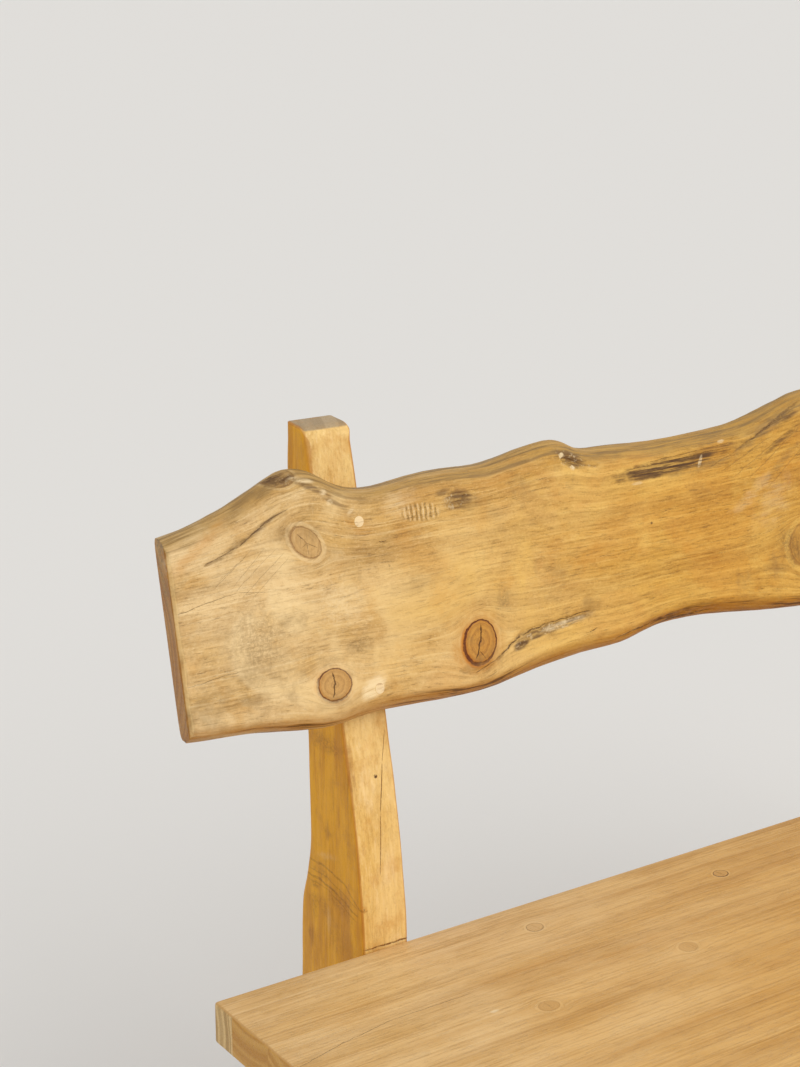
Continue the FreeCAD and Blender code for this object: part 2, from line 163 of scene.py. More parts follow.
def setLight():
    world = bpy.data.worlds.new("studioWorld")
    world.use_nodes = True
    background = world.node_tree.nodes["Background"]
    background.inputs["Color"].default_value = light["worldTone"]
    background.inputs["Strength"].default_value = light["worldStrength"]
    bpy.context.scene.world = world
    lamp = bpy.data.lights.new("broadLamp", "SUN")
    lamp.energy = light["lampStrength"]
    lamp.angle = math.radians(light["lampSpread"])
    lamp.color = light["lampTone"]
    obj = addObject("broadLamp", lamp)
    obj.rotation_mode = "QUATERNION"
    obj.rotation_quaternion = Vector(light["lampFrom"]).to_track_quat("Z", "Y")


def newMaterial(name, **sockets):  # with plain values on some of its shader's sockets
    material = bpy.data.materials.new(name)
    material.use_nodes = True
    shader = material.node_tree.nodes["Principled BSDF"]
    for title, value in sockets.items():
        shader.inputs[title.replace("_", " ")].default_value = value
    return material, material.node_tree, shader.inputs


def makeFloor():
    half = light["floorSize"] / 2
    material = newMaterial("paleBackdrop", Base_Color=light["backdropTone"], Roughness=0.9,
                           Specular_IOR_Level=0.1)[0]
    corners = [(-half, -half, 0), (half, -half, 0), (half, half, 0), (-half, half, 0)]
    newPiece("paleFloor", corners, [(0, 1, 2, 3)], material)


# Shader helpers. A Reading is a socket's value: every sum or product of readings adds one Math node.

class Reading:
    def __init__(self, socket):
        self.socket = socket
        self.tree = socket.id_data

    def __add__(self, other):
        return calc("ADD", self, other)

    def __sub__(self, other):
        return calc("SUBTRACT", self, other)

    def __rsub__(self, other):
        return calc("SUBTRACT", other, self)

    def __mul__(self, other):
        return calc("MULTIPLY", self, other)

    def __truediv__(self, other):
        return calc("DIVIDE", self, other)

    def __abs__(self):
        return calc("ABSOLUTE", self)


def feed(socket, value):  # a link from a reading, or a plain value
    if isinstance(value, Reading):
        value.tree.links.new(value.socket, socket)
    else:
        socket.default_value = value


def addNode(tree, kind, **settings):
    node = tree.nodes.new("ShaderNode" + kind)
    for key, value in settings.items():
        setattr(node, key, value)
    return node


def workNode(kind, values, places=None, **settings):  # a node in the tree of the readings that feed it
    node = addNode(next(v.tree for v in values if isinstance(v, Reading)), kind, **settings)
    for place, value in zip(places or range(len(values)), values):
        feed(node.inputs[place], value)
    return [Reading(socket) for socket in node.outputs]


def calc(operation, *values):
    return workNode("Math", values, operation=operation)[0]


def timesPlus(first, second, third):
    return calc("MULTIPLY_ADD", first, second, third)


def vector(operation, *values):
    single = operation in ("DOT_PRODUCT", "LENGTH")
    return workNode("VectorMath", values, operation=operation)[1 if single else 0]


def combine(*values):
    return workNode("CombineXYZ", values)[0]


def separate(value):
    return workNode("SeparateXYZ", [value])


def noise(place, scale, detail=2.0, rough=0.5, warp=0.0, dimensions="3D"):
    given = "W" if dimensions == "1D" else "Vector"
    return workNode("TexNoise", (place, scale, detail, rough, warp),
                    (given, "Scale", "Detail", "Roughness", "Distortion"), noise_dimensions=dimensions)[0]


def noiseAlong(value, detail, rough):  # noise on one number
    return noise(value, 1.0, detail, rough, dimensions="1D")


def remap(value, low, high, toLow=0.0, toHigh=1.0):
    return workNode("MapRange", (value, low, high, toLow, toHigh), interpolation_type="SMOOTHSTEP")[0]


def mixTone(factor, first, second, blend="MIX"):
    return workNode("Mix", (factor, first, second), (0, 6, 7), data_type="RGBA", blend_type=blend)[2]


def mixVector(factor, first, second):
    return workNode("Mix", (factor, first, second), (0, 4, 5), data_type="VECTOR")[1]


def layTones(colour, look, *layers):  # each layer: a reading, where it begins and is full, how full, its tone
    for value, low, high, most, toneName in layers:
        colour = mixTone(remap(value, low, high, 0.0, most), colour, look[toneName])
    return colour


def dotPlace(place, origin, axis):  # how far a place lies from origin along an axis
    return vector("DOT_PRODUCT", vector("SUBTRACT", place, origin), tuple(axis))


def markAxes(halfLong, halfHigh, tilt):  # axes that measure a mark in its own half sizes, turned with it
    turn = math.radians(tilt)
    return ((math.cos(turn) / halfLong / mm, math.sin(turn) / halfLong / mm, 0),
            (-math.sin(turn) / halfHigh / mm, math.cos(turn) / halfHigh / mm, 0))


def stretched(place, along, across, shift=0.0):  # a place squeezed for noise that runs with the grain
    return vector("MULTIPLY_ADD", place, (along, across, across), (shift, shift * 0.37, shift * 0.21))


def makeGroup(name, inputs, outputs, kind="ShaderNodeTree"):  # sockets are given as title:type, spaced apart
    group = bpy.data.node_groups.new(name, kind)
    for titles, way in ((inputs, "INPUT"), (outputs, "OUTPUT")):
        for title in titles.split():
            title, data = title.split(":")
            group.interface.new_socket(title, in_out=way, socket_type="NodeSocket" + data)
    given, out = group.nodes.new("NodeGroupInput"), group.nodes.new("NodeGroupOutput")
    return group, {socket.name: Reading(socket) for socket in given.outputs}, out.inputs


def useGroup(group, *values):
    return workNode("Group", values, node_tree=group)


def markReach(place, given):  # where a place lies in a mark's own half sizes
    away = vector("SUBTRACT", place, given["Middle"])
    return [vector("DOT_PRODUCT", away, given[title]) for title in ("Long", "High")]


def makeSmudgeGroup():  # a soft-edged ragged patch
    group, given, out = makeGroup(
        "smudgeMask", "Flat:Vector Middle:Vector Long:Vector High:Vector Rag:Float Soft:Float Strength:Float",
        "Mask:Float")
    long, high = markReach(given["Flat"], given)
    reach = vector("LENGTH", combine(long, high, 0.0))
    reach = timesPlus(given["Rag"], given["Soft"] * 1.5, reach)
    feed(out["Mask"], remap(reach, 1.0, 1.0 - given["Soft"]) * given["Strength"])
    return group


def makeSlitGroup():  # a thin wandering line that tapers at both ends
    group, given, out = makeGroup(
        "slitMask", "Flat:Vector Middle:Vector Long:Vector High:Vector Rag:Float Strength:Float",
        "Mask:Float")
    long, high = markReach(given["Flat"], given)
    bent = abs(timesPlus(given["Rag"], 4.0, high))
    bent = timesPlus(long * long, 0.45, bent)
    feed(out["Mask"], remap(bent, 1.3, 0.5) * remap(abs(long), 1.05, 0.85) * given["Strength"])
    return group


def makeKnotGroup():  # keeps the nearest knot so far, and adds up how far knots push the grain aside
    group, given, out = makeGroup(
        "nearestKnot", "Place:Vector Middle:Vector Long:Vector High:Vector Half:Float NewKind:Vector "
        "Reach:Float Eye:Vector Kind:Vector Push:Float", "Reach:Float Eye:Vector Kind:Vector Push:Float")
    long, high = markReach(given["Place"], given)
    local = combine(long, high, 0.0)
    distance = vector("LENGTH", local)
    nearer = calc("LESS_THAN", distance, given["Reach"])
    feed(out["Reach"], calc("MINIMUM", distance, given["Reach"]))
    feed(out["Eye"], mixVector(nearer, given["Eye"], local))
    feed(out["Kind"], mixVector(nearer, given["Kind"], given["NewKind"]))
    spread = calc("MAXIMUM", calc("POWER", distance, 2.2), 1.0)
    feed(out["Push"], high * given["Half"] / spread + given["Push"])
    return group


groups = {"smudge": makeSmudgeGroup(), "slit": makeSlitGroup(), "knot": makeKnotGroup()}


# Wood: a grain place (along, across, deep) carries the rings and the fibres, and knots push it aside.
# A knot is (along, across, half length, half height, tilt, orange, darkRing, crack) in millimetres.

def readKnots(place, knots):
    reach, eye, kind, push = 50.0, (50.0, 50.0, 0.0), (0.0, 0.0, 0.0), 0.0  # as if the nearest were far off
    for knotAlong, knotAcross, halfLong, halfHigh, tilt, *newKind in knots:
        reach, eye, kind, push = useGroup(groups["knot"], place, (knotAlong * mm, knotAcross * mm, 0),
                                          *markAxes(halfLong, halfHigh, tilt), halfHigh * mm, newKind,
                                          reach, eye, kind, push)
    along, across, deep = separate(place)
    return combine(along, across - push, deep), reach, eye, kind


def paintGrain(place, look):  # rings, streaks, fibres and handling marks of oiled pine
    along, across, deep = separate(place)
    contrast, mottled, seed = look["contrast"], look["mottle"], look["seed"]
    heartAcross, heartDeep = look["heart"]
    sway = noise(stretched(place, 2.4, 11.0, seed), 1.0, 2.0, 0.45) - 0.5
    sideways = timesPlus(sway, look["sway"] * mm, across - heartAcross * mm)
    ring = vector("LENGTH", combine(sideways, deep - heartDeep * mm, 0.0))
    ring = timesPlus(along, look["taper"], ring)
    band = noiseAlong(timesPlus(ring, 1 / (look["ring"] * mm), seed * 3.1), 1.5, 0.5)
    line = remap(abs(band - 0.5), 0.09, 0.0)
    clouds, patches, broad, fibre, stroke = (
        noise(stretched(place, *size), 1.0, detail, rough) for *size, detail, rough in (
            (6.0, 15.0, seed, 4.0, 0.62), (20.0, 34.0, seed + 3, 5.0, 0.7), (3.6, 85.0, seed + 5, 3.0, 0.55),
            (look["fibre"], 380.0, 3.0, 0.62), (60.0, 470.0, 7.0, 3.0, 0.68)))
    speck = noise(place, 420.0, 3.0, 0.75)
    calm = remap(clouds, 0.40, 0.58, look["calm"], 1.0)
    colour = layTones(
        look["pale"], look, (clouds, 0.36, 0.62, 1.0, "golden"),
        (patches, 0.50, 0.68, 0.50 * mottled, "deep"), (patches, 0.46, 0.30, 0.45 * mottled, "sheen"),
        (band, 0.35, 0.7, 0.3 * contrast, "golden"), (broad, 0.48, 0.66, 0.34 * contrast, "deep"))
    colour = mixTone(line * (0.30 * contrast), colour, look["line"])
    colour = mixTone(calm * remap(fibre, 0.50, 0.63, 0.0, 0.50 * contrast), colour, look["line"])
    colour = layTones(colour, look, (fibre, 0.46, 0.32, 0.35, "sheen"))
    strokes = remap(stroke, 0.53, 0.65)
    colour = mixTone(calm * strokes * look["strokes"], colour, look["line"])
    colour = layTones(colour, look, (stroke, 0.44, 0.3, look["strokes"], "sheen"))
    scratches = remap(patches, 0.42, 0.58) * remap(stroke, 0.62, 0.66)
    colour = mixTone(scratches * look["scratches"], colour, look["crack"])
    colour = layTones(colour, look, (speck, 0.54, 0.72, look["specks"], "line"),
                      (speck, 0.46, 0.3, look["specks"], "sheen"))
    height = timesPlus(strokes, -0.5, fibre * (0.9 * look["calm"]))
    return colour, timesPlus(speck, 0.5, height), fibre, band


def knotTone(base, reach, eye, kind, look):  # paints the nearest knot over the wood
    orange, darkRing, crack = separate(kind)
    wobble = noise(eye, 2.4, 3.0, 0.6) - 0.5
    edge = timesPlus(wobble, 0.22, reach)
    inside = remap(edge, 1.04, 0.94)
    rings = noiseAlong(edge * 8.0, 2.0, 0.6)
    face = mixTone(orange, look["knotPlain"], look["knotOrange"])
    face = layTones(face, look, (rings, 0.42, 0.60, 0.45, "knotDeep"))
    mottled = noise(eye, 6.0, 3.0, 0.65)
    face = layTones(face, look, (mottled, 0.45, 0.75, 0.30, "knotRing"))
    face = mixTone(remap(orange, 0.0, 0.9, 0.5, 1.0), base, face)
    base = layTones(base, look, (abs(edge - 1.2), 0.2, 0.05, 0.5, "sheen"))  # a pale collar
    halo = remap(reach, 1.9, 1.0) * remap(wobble, -0.25, 0.2, 0.35, 0.8)
    base = mixTone(halo * remap(orange, 0.0, 1.0, 0.25, 0.8), base, look["knotHalo"])
    painted = mixTone(inside, base, face)
    eyeX, eyeY = separate(eye)[:2]
    lowLeft = eyeX * -0.5 + eyeY * -0.75
    width = remap(lowLeft, -0.6, 0.9, 0.05, 0.13)  # the rim is widest low on its left: the knot's dark rim, widened there by painted shade in its crevice
    glow = remap(edge, 0.74, 0.98) * remap(lowLeft, -0.3, 0.6, 0.2, 0.85)
    glow = glow * (orange * remap(edge, 1.32, 1.12))
    painted = mixTone(glow, painted, look["knotGlow"])
    away = abs(edge - 1.0)
    rim = (1.0 - remap(away / width, 0.35, 1.0)) * darkRing
    painted = mixTone(rim * remap(mottled, 0.3, 0.6, 0.55, 1.0), painted, look["knotRing"])
    bend = timesPlus(eyeY * eyeY, 0.22, eyeX)
    bend = timesPlus(wobble, 0.35, bend)
    split = 1.0 - remap(abs(bend), 0.015, 0.07)
    split = split * (crack * remap(reach, 0.85, 0.65))
    painted = mixTone(split, painted, look["crack"])
    return painted, inside, calc("MAXIMUM", rim * 0.6, split)


# Marks on one face: slits are (along, across, along, across, width, strength) from end to end, smudges are
# (along, across, half length, half height, tilt, strength, softness, tone name) and combs are
# (along, across, half length, half height, pitch, tilt), all in millimetres.

def paintMarks(coordinates, place, sheet, look, colour, height):
    origin, alongAxis, acrossAxis, deepAxis = sheet["axes"]
    flat = combine(dotPlace(coordinates, origin, alongAxis), dotPlace(coordinates, origin, acrossAxis), 0.0)
    face = remap(dotPlace(coordinates, origin, deepAxis), (sheet["deeper"] - 2) * mm, sheet["deeper"] * mm)
    rag = noise(flat, 70.0, 3.0, 0.6) - 0.5
    crumb = noise(flat, 330.0, 4.0, 0.72)
    fine = noise(stretched(place, 18.0, 300.0, 3.0), 1.0, 4.0, 0.68)
    streaky = remap(fine, 0.36, 0.60, 0.2, 1.0) * face
    crumbly = remap(crumb, 0.36, 0.60, 0.2, 1.0) * face
    ragged = remap(crumb, 0.35, 0.55, 0.4, 1.0) * face
    wander = combine(0.0, rag * (2.0 * mm), 0.0)
    spot = vector("ADD", flat, wander)  # read after the noise, so few values are held at a time
    for along, across, halfLong, halfHigh, tilt, strength, soft, toneName in sheet.get("smudges", []):
        mask = useGroup(groups["smudge"], spot, (along * mm, across * mm, 0),
                        *markAxes(halfLong, halfHigh, tilt), rag, soft, strength)[0]
        mask = mask * (streaky if halfLong > 1.6 * halfHigh else crumbly)
        colour = mixTone(mask, colour, look[toneName])
    for along, across, halfLong, halfHigh, pitch, tilt in sheet.get("combs", []):  # rows of short tool bites
        long, high = markAxes(halfLong, halfHigh, tilt)
        middle = (along * mm, across * mm, 0)
        mask = useGroup(groups["smudge"], spot, middle, long, high, rag, 0.3, 1.0)[0]
        away = vector("SUBTRACT", spot, middle)
        beat = vector("DOT_PRODUCT", away, tuple(2 * math.pi * halfLong / pitch * k for k in long))
        lean = vector("DOT_PRODUCT", away, tuple(1.2 * k for k in high))
        wave = calc("SINE", timesPlus(rag, 5.0, beat + lean))
        mask = mask * remap(crumb, 0.38, 0.6, 0.1, 1.0)
        # the bites are painted darker as painted shade, and the ridges between them paler as painted
        # highlights, besides the bites' dents in the bump
        biteAndShade = mask * remap(wave, 0.25, 0.8)
        ridgeHighlight = mask * remap(wave, -0.25, -0.8)
        colour = mixTone(biteAndShade * 0.7, colour, look["smoke"])
        colour = mixTone(ridgeHighlight * 0.5, colour, look["chalk"])
        height = timesPlus(biteAndShade, -1.5, height)
    for alongA, acrossA, alongB, acrossB, width, strength in sheet.get("slits", []):
        run, climb = alongB - alongA, acrossB - acrossA
        axes = markAxes(math.hypot(run, climb) / 2, width / 2, math.degrees(math.atan2(climb, run)))
        middle = ((alongA + alongB) / 2 * mm, (acrossA + acrossB) / 2 * mm, 0)
        mask = useGroup(groups["slit"], spot, middle, *axes, rag, strength)[0] * ragged
        colour = mixTone(mask, colour, look["crack"])
        height = timesPlus(mask, -1.2, height)
    return colour, height


woodLook = makeLook(
    pale=(226, 190, 132), golden=(211, 163, 92), deep=(176, 122, 58), line=(158, 104, 48),
    sheen=(240, 212, 160), endGrain=(200, 144, 60), endPale=(220, 172, 92), endDeep=(158, 104, 40),
    endFrom=(0.55, 0.9),  # how squarely a face must look along the grain to show as end grain
    arris=(240, 206, 124),
    strip=0.75,  # how strongly the eased arrises at the ends take the arris tone; a paler arris is partly wear and partly a painted highlight
    knotPlain=(200, 160, 106), knotOrange=(200, 150, 76), knotDeep=(146, 102, 54), knotHalo=(196, 146, 76),
    knotRing=(100, 48, 12),
    knotGlow=(192, 120, 20),  # resin round an orange knot, strongest low on its left
    crack=(84, 54, 26), smoke=(136, 106, 62), dark=(88, 58, 28), chalk=(238, 214, 170), amber=(196, 136, 54),
    contrast=1.0,
    mottle=0.6,
    fibre=7.0,  # how quickly the long fibres change along their length
    calm=0.8,  # how much of the fibre shows where the wood is palest
    strokes=0.3,
    scratches=0.2,  # few and thin, but dark
    specks=0.14,
    heart=(0.0, -60.0),
    ring=5.0,
    taper=0.004,
    sway=14.0,
    seed=0.0,
    roughness=0.52,
    knots=[],
)


def placeOn(coordinates, axes):  # a place in lengths along the grain, across it and deep
    origin, *directions = axes
    return combine(*[dotPlace(coordinates, origin, direction) for direction in directions])


def readFrom(tree, kind, output, **settings):
    return Reading(addNode(tree, kind, **settings).outputs[output])


def addBump(shader, height, strength, distance):
    bump = workNode("Bump", (strength, distance, height), ("Strength", "Distance", "Height"))
    feed(shader["Normal"], bump[0])


def paintWood(name, look, axes, extra=None):
    look = {**woodLook, **look}
    material, tree, shader = newMaterial(name, Specular_IOR_Level=0.27)
    coordinates = readFrom(tree, "TexCoord", "Object")
    if "grainAttribute" in look:
        place = readFrom(tree, "Attribute", "Vector", attribute_name=look["grainAttribute"])
    else:
        place = placeOn(coordinates, axes)
    flat = placeOn(coordinates, axes)
    if look["knots"]:
        moved, reach, eye, kind = readKnots(flat, look["knots"])
        place = vector("ADD", place, vector("SUBTRACT", moved, flat))
    colour, height, fibre, band = paintGrain(place, look)
    normal = readFrom(tree, "TexCoord", "Normal")
    facing = abs(vector("DOT_PRODUCT", normal, tuple(axes[1])))
    ends = remap(facing, *look["endFrom"])
    pores = noise(coordinates, 700.0, 2.0, 0.6)
    endTone = mixTone(remap(band, 0.42, 0.6), look["endGrain"], look["endPale"])
    endTone = layTones(endTone, look, (pores, 0.5, 0.7, 0.4, "endDeep"))
    colour = mixTone(ends * 0.93, colour, endTone)
    # the eased arrises round the ends take the arris tone: where it is paler, partly wear and partly a
    # painted highlight
    strip = remap(facing, 0.4, 0.55) * remap(facing, 0.92, 0.8)
    colour = mixTone(strip * look["strip"], colour, look["arris"])
    inside = 0.0
    if look["knots"]:
        colour, inside, dip = knotTone(colour, reach, eye, kind, look)
        height = timesPlus(dip, -1.6, height)
    rough = remap(fibre, 0.3, 0.8, look["roughness"] - 0.08, look["roughness"] + 0.12)
    if extra:
        at = {"flat": flat, "place": place, "normal": normal, "inside": inside}
        colour, height = extra(colour, height, look, at)
    for sheet in look.get("marks", []):
        colour, height = paintMarks(coordinates, place, sheet, look, colour, height)
    feed(shader["Base Color"], colour)
    feed(shader["Roughness"], rough)
    addBump(shader, height, 0.6, 0.8 * mm)
    return material


# Back board: its outline, rake and thickness are read off the CAD solid, then its surface is worked finely.
# Places on it are (along, up) in millimetres from the seat's left end and from the seat's top, up the rake.

board = {
    "node": "backrest_board",
    "leftStations": 372,  # finer over the left half, which the photo shows
    "rightStations": 236,
    "frontRows": 86,
    "backRows": 26,
    "edgeRows": 14,
    "levels": (0.002, 0.1, 0.22, 0.38, 0.52, 0.66, 0.77, 0.88, 0.94, 0.998),  # shares of the thickness
    "endChamfer": 4.5,
    "endSlant": 7.0,  # the sawn ends slope in towards the back
    "endProbe": 0.3,  # the outline is read this far in from the ends
    "rounding": 5,
    "plugsAlong": (183, 1317),
    "plugsUp": (248.905, 400.01),
    "plugFlat": 9,  # flat this far round the plugs
    "topWane": (15, 0.75),  # how far in from the edge, and how strong
    "lowWane": (12, 0.7),
    "knots": [
        (126, 390, 17.5, 11.5, -44, 0.05, 0.5, 0.0), (137, 261, 17.5, 14.5, -6, 0.55, 1.2, 0.9),
        (298, 270, 18, 20.5, -18, 1.0, 1.3, 1.0), (114, 450, 15, 9, 0, 0.0, 0.7, 0.0),
        (724, 296, 25, 22, 20, 0.0, 0.35, 0.3), (905, 282, 17, 14, 10, 0.5, 0.9, 0.8),
        (1012, 378, 13, 11, -20, 0.2, 0.4, 0.5), (1178, 262, 19, 16, 5, 0.9, 1.0, 1.0),
        (1296, 396, 16, 12, 15, 0.1, 0.7, 0.3), (1418, 306, 14, 13, 0, 0.6, 0.6, 0.8),
    ],
    # swellings and hollows: along, up, half length, half height, tilt, height
    "swells": [
        (298, 270, 29, 27, 0, 1.6), (298, 270, 17, 17, 0, -2.0),
        (137, 261, 25, 21, 0, 0.9), (137, 261, 15, 12, 0, -1.0),
        (126, 390, 20, 19, 0, 0.6), (126, 390, 13, 12, 0, -0.8),
        (150, 425, 26, 14, -20, 2.0), (114, 447, 14, 8, 0, -2.2), (172, 414, 20, 8, -30, -1.2),
        (430, 420, 14, 9, -35, -3.2), (405, 434, 22, 12, 0, 1.4),
        (716, 296, 46, 40, 0, 2.4), (716, 296, 22, 19, 0, -1.4),
        (60, 310, 60, 40, 0, -0.8), (200, 330, 70, 45, 0, 0.7), (560, 340, 130, 40, 0, -0.8),
        (905, 282, 26, 22, 0, 1.2), (905, 282, 14, 11, 0, -1.2), (1178, 262, 28, 24, 0, 1.5),
        (1178, 262, 16, 13, 0, -1.5), (1012, 378, 20, 17, 0, 0.8), (1296, 396, 24, 16, 0, 1.0),
        (1418, 306, 22, 20, 0, 0.9), (820, 350, 120, 50, 10, -0.8), (1100, 330, 90, 40, 0, 0.7),
    ],
    # grooves: points along the line, half width, depth
    "grooves": [
        ([(272, 248), (289, 242), (304, 244), (321, 253), (334, 262), (346, 268), (360, 271), (380, 272),
          (400, 273), (418, 274), (432, 276)], 2.3, 2.6),
        ([(338, 258), (350, 261), (366, 265), (386, 267), (420, 270)], 3.6, 1.3),
        ([(26, 386), (43, 390), (60, 397), (76, 405), (89, 413), (103, 419), (113, 422)], 1.8, 0.9),
        ([(462, 245), (485, 247), (509, 251), (553, 252), (593, 249)], 2.4, 1.2),
        ([(418, 428), (430, 421), (444, 416), (458, 413)], 2.6, 2.0),
        ([(880, 412), (930, 404), (985, 401), (1040, 396)], 2.2, 1.2),
        ([(1188, 244), (1220, 250), (1262, 254), (1300, 252)], 2.4, 1.8),
    ],
    # rough bark left in: along, up, half length, half height, tilt
    "barkPatches": [
        (384, 268, 50, 4.5, 6), (345, 259, 11, 5, 20), (114, 449, 17, 8, 0), (428, 424, 20, 9, -20),
        (292, 404, 18, 9, 5), (1245, 252, 40, 6, 3), (1300, 404, 18, 8, 0),
    ],
    "bites": (249, 399, 23, 9, 4),  # a row of short tool bites: along, up, half length, half height, tilt
    "bitePitch": 4.6,
    "biteDepth": 0.8,
    "marks": {
        "smudges": [
            (66, 312, 44, 52, 16, 0.5, 0.9, "smoke"), (52, 290, 34, 14, 0, 0.3, 0.9, "smoke"),
            (169, 290, 17, 13, 0, 0.5, 0.9, "smoke"), (190, 372, 70, 22, 6, 0.3, 0.9, "smoke"),
            (330, 304, 14, 20, 0, 0.5, 0.9, "smoke"), (240, 335, 46, 14, 8, 0.26, 0.9, "smoke"),
            (226, 410, 30, 16, 0, 0.4, 0.9, "chalk"), (150, 330, 34, 30, 0, 0.35, 0.7, "sheen"),
            (20, 400, 60, 8, 32, 0.45, 0.8, "amber"), (330, 416, 60, 7, 4, 0.5, 0.8, "amber"),
            (182, 396, 24, 10, -30, 0.4, 0.8, "amber"), (500, 412, 50, 8, 2, 0.5, 0.8, "amber"),
            (272, 262, 9, 20, 20, 0.5, 0.8, "amber"), (300, 246, 22, 6, 12, 0.6, 0.7, "amber"),
            (98, 401, 26, 10, 25, 0.3, 0.9, "smoke"), (294, 405, 23, 12, 0, 0.75, 0.85, "dark"),
            (276, 413, 12, 6, 0, 0.6, 0.8, "dark"), (312, 396, 30, 10, -10, 0.5, 0.9, "smoke"),
            (330, 385, 26, 9, 0, 0.25, 0.9, "smoke"), (108, 396, 9, 14, 30, 0.45, 0.9, "smoke"),
            (548, 400, 86, 10, 2, 1.0, 0.5, "dark"), (536, 397, 60, 7, 2, 0.9, 0.6, "dark"),
            (605, 408, 56, 5, 4, 0.8, 0.7, "dark"), (600, 395, 70, 7, 4, 0.6, 0.8, "smoke"),
            (686, 421, 60, 8, 22, 0.8, 0.8, "smoke"), (705, 408, 46, 4, 26, 0.7, 0.8, "dark"),
            (700, 384, 46, 6, 32, 0.5, 0.9, "smoke"), (718, 430, 30, 5, 20, 0.7, 0.8, "dark"),
            (645, 352, 30, 9, 24, 0.2, 0.8, "chalk"), (668, 366, 26, 10, 34, 0.2, 0.8, "chalk"),
            (470, 420, 44, 4, -3, 0.45, 0.8, "smoke"), (112, 449, 22, 9, 0, 1.0, 0.6, "dark"),
            (100, 441, 24, 5, 22, 0.6, 0.8, "smoke"), (140, 436, 26, 4, -28, 0.7, 0.8, "dark"),
            (160, 420, 22, 3, -32, 0.55, 0.8, "dark"), (134, 444, 16, 3, -14, 0.7, 0.6, "chalk"),
            (432, 420, 18, 7, -28, 0.6, 0.7, "dark"), (704, 297, 30, 26, 0, 0.5, 0.9, "dark"),
            (346, 259, 12, 5, 15, 0.8, 0.6, "dark"), (364, 263, 10, 3, 10, 0.7, 0.6, "dark"),
            (60, 399, 46, 5.5, 24, 0.9, 0.9, "smoke"), (86, 411, 26, 4, 26, 0.8, 0.9, "dark"),
            (30, 372, 40, 10, 12, 0.35, 0.9, "smoke"), (40, 262, 44, 7, 0, 0.5, 0.9, "smoke"),
            (70, 430, 34, 6, 34, 0.6, 0.9, "smoke"), (180, 440, 40, 6, -4, 0.5, 0.9, "smoke"),
            (290, 250, 34, 10, 18, 0.35, 0.9, "smoke"), (137, 246, 30, 9, 0, 0.4, 0.9, "smoke"),
            (177, 251, 19, 11, 30, 1.0, 0.5, "sheen"), (150, 431, 5, 4, 0, 0.6, 0.5, "chalk"),
            (176, 411, 7, 3, 40, 0.45, 0.6, "chalk"), (155, 421, 4, 3, 0, 0.5, 0.5, "chalk"),
            (419, 428, 5, 3, 20, 0.9, 0.4, "chalk"), (431, 415, 4, 3, 0, 0.9, 0.4, "chalk"),
            (590, 400, 2.5, 8, -25, 0.7, 0.5, "chalk"), (506, 389, 9, 2, 0, 0.6, 0.6, "chalk"),
            (395, 269, 36, 4, 5, 0.6, 0.6, "chalk"), (684, 345, 44, 26, 40, 0.22, 0.9, "chalk"),
            (623, 416, 6, 2, 10, 0.6, 0.5, "chalk"), (519, 348, 1.6, 1.6, 0, 0.9, 0.4, "dark"),
            (209, 356, 1.4, 1.4, 0, 0.9, 0.4, "dark"), (940, 402, 50, 7, -5, 0.7, 0.6, "dark"),
            (1100, 300, 46, 25, 0, 0.35, 0.9, "smoke"), (1350, 350, 56, 22, 0, 0.35, 0.9, "smoke"),
            (820, 290, 60, 20, 5, 0.3, 0.9, "smoke"),
        ],
        "combs": [(249, 399, 24, 10, 5.2, -6), (1052, 300, 16, 7, 4.8, 6)],
        "slits": [
            (-8, 349, 52, 358, 0.8, 0.55), (52, 358, 86, 353, 0.6, 0.4), (-8, 286, 47, 291, 0.7, 0.5),
            (26, 386, 60, 397, 1.0, 0.6), (60, 397, 89, 413, 1.4, 0.7), (89, 413, 113, 422, 1.0, 0.5),
            (201, 379, 209, 378, 1.0, 0.7), (289, 242, 321, 253, 1.2, 0.7), (321, 253, 346, 268, 1.6, 0.85),
            (346, 268, 378, 273, 1.6, 0.8), (378, 273, 432, 277, 1.3, 0.8), (462, 244, 509, 251, 1.6, 0.8),
            (509, 251, 593, 249, 1.6, 0.7), (427, 256, 436, 258, 1.4, 0.8), (30, 364, 72, 392, 0.7, 0.3),
            (50, 358, 96, 389, 0.7, 0.28), (48, 362, 84, 391, 0.6, 0.35), (56, 352, 104, 385, 0.7, 0.3),
            (66, 350, 108, 380, 0.6, 0.3), (36, 370, 66, 388, 0.6, 0.3), (600, 392, 672, 413, 1.8, 0.3),
            (615, 386, 692, 413, 1.8, 0.3), (632, 378, 714, 415, 1.6, 0.3), (650, 372, 734, 419, 1.6, 0.3),
            (640, 404, 724, 436, 2.4, 0.45), (660, 412, 738, 444, 2.4, 0.5), (676, 360, 742, 402, 1.6, 0.25),
            (490, 403, 620, 409, 1.0, 0.7), (500, 397, 600, 401, 1.0, 0.7), (515, 407, 640, 414, 0.8, 0.5),
            (118, 399, 127, 389, 0.8, 0.6), (127, 389, 137, 384, 0.7, 0.5), (127, 389, 128, 379, 0.7, 0.5),
            (122, 386, 127, 389, 0.7, 0.4), (296, 262, 302, 254, 1.0, 0.7), (820, 268, 880, 262, 1.1, 0.6),
            (1440, 340, 1508, 338, 0.9, 0.7), (1188, 246, 1262, 254, 1.6, 0.8),
            (985, 401, 1040, 397, 1.2, 0.6),
        ],
    },
}


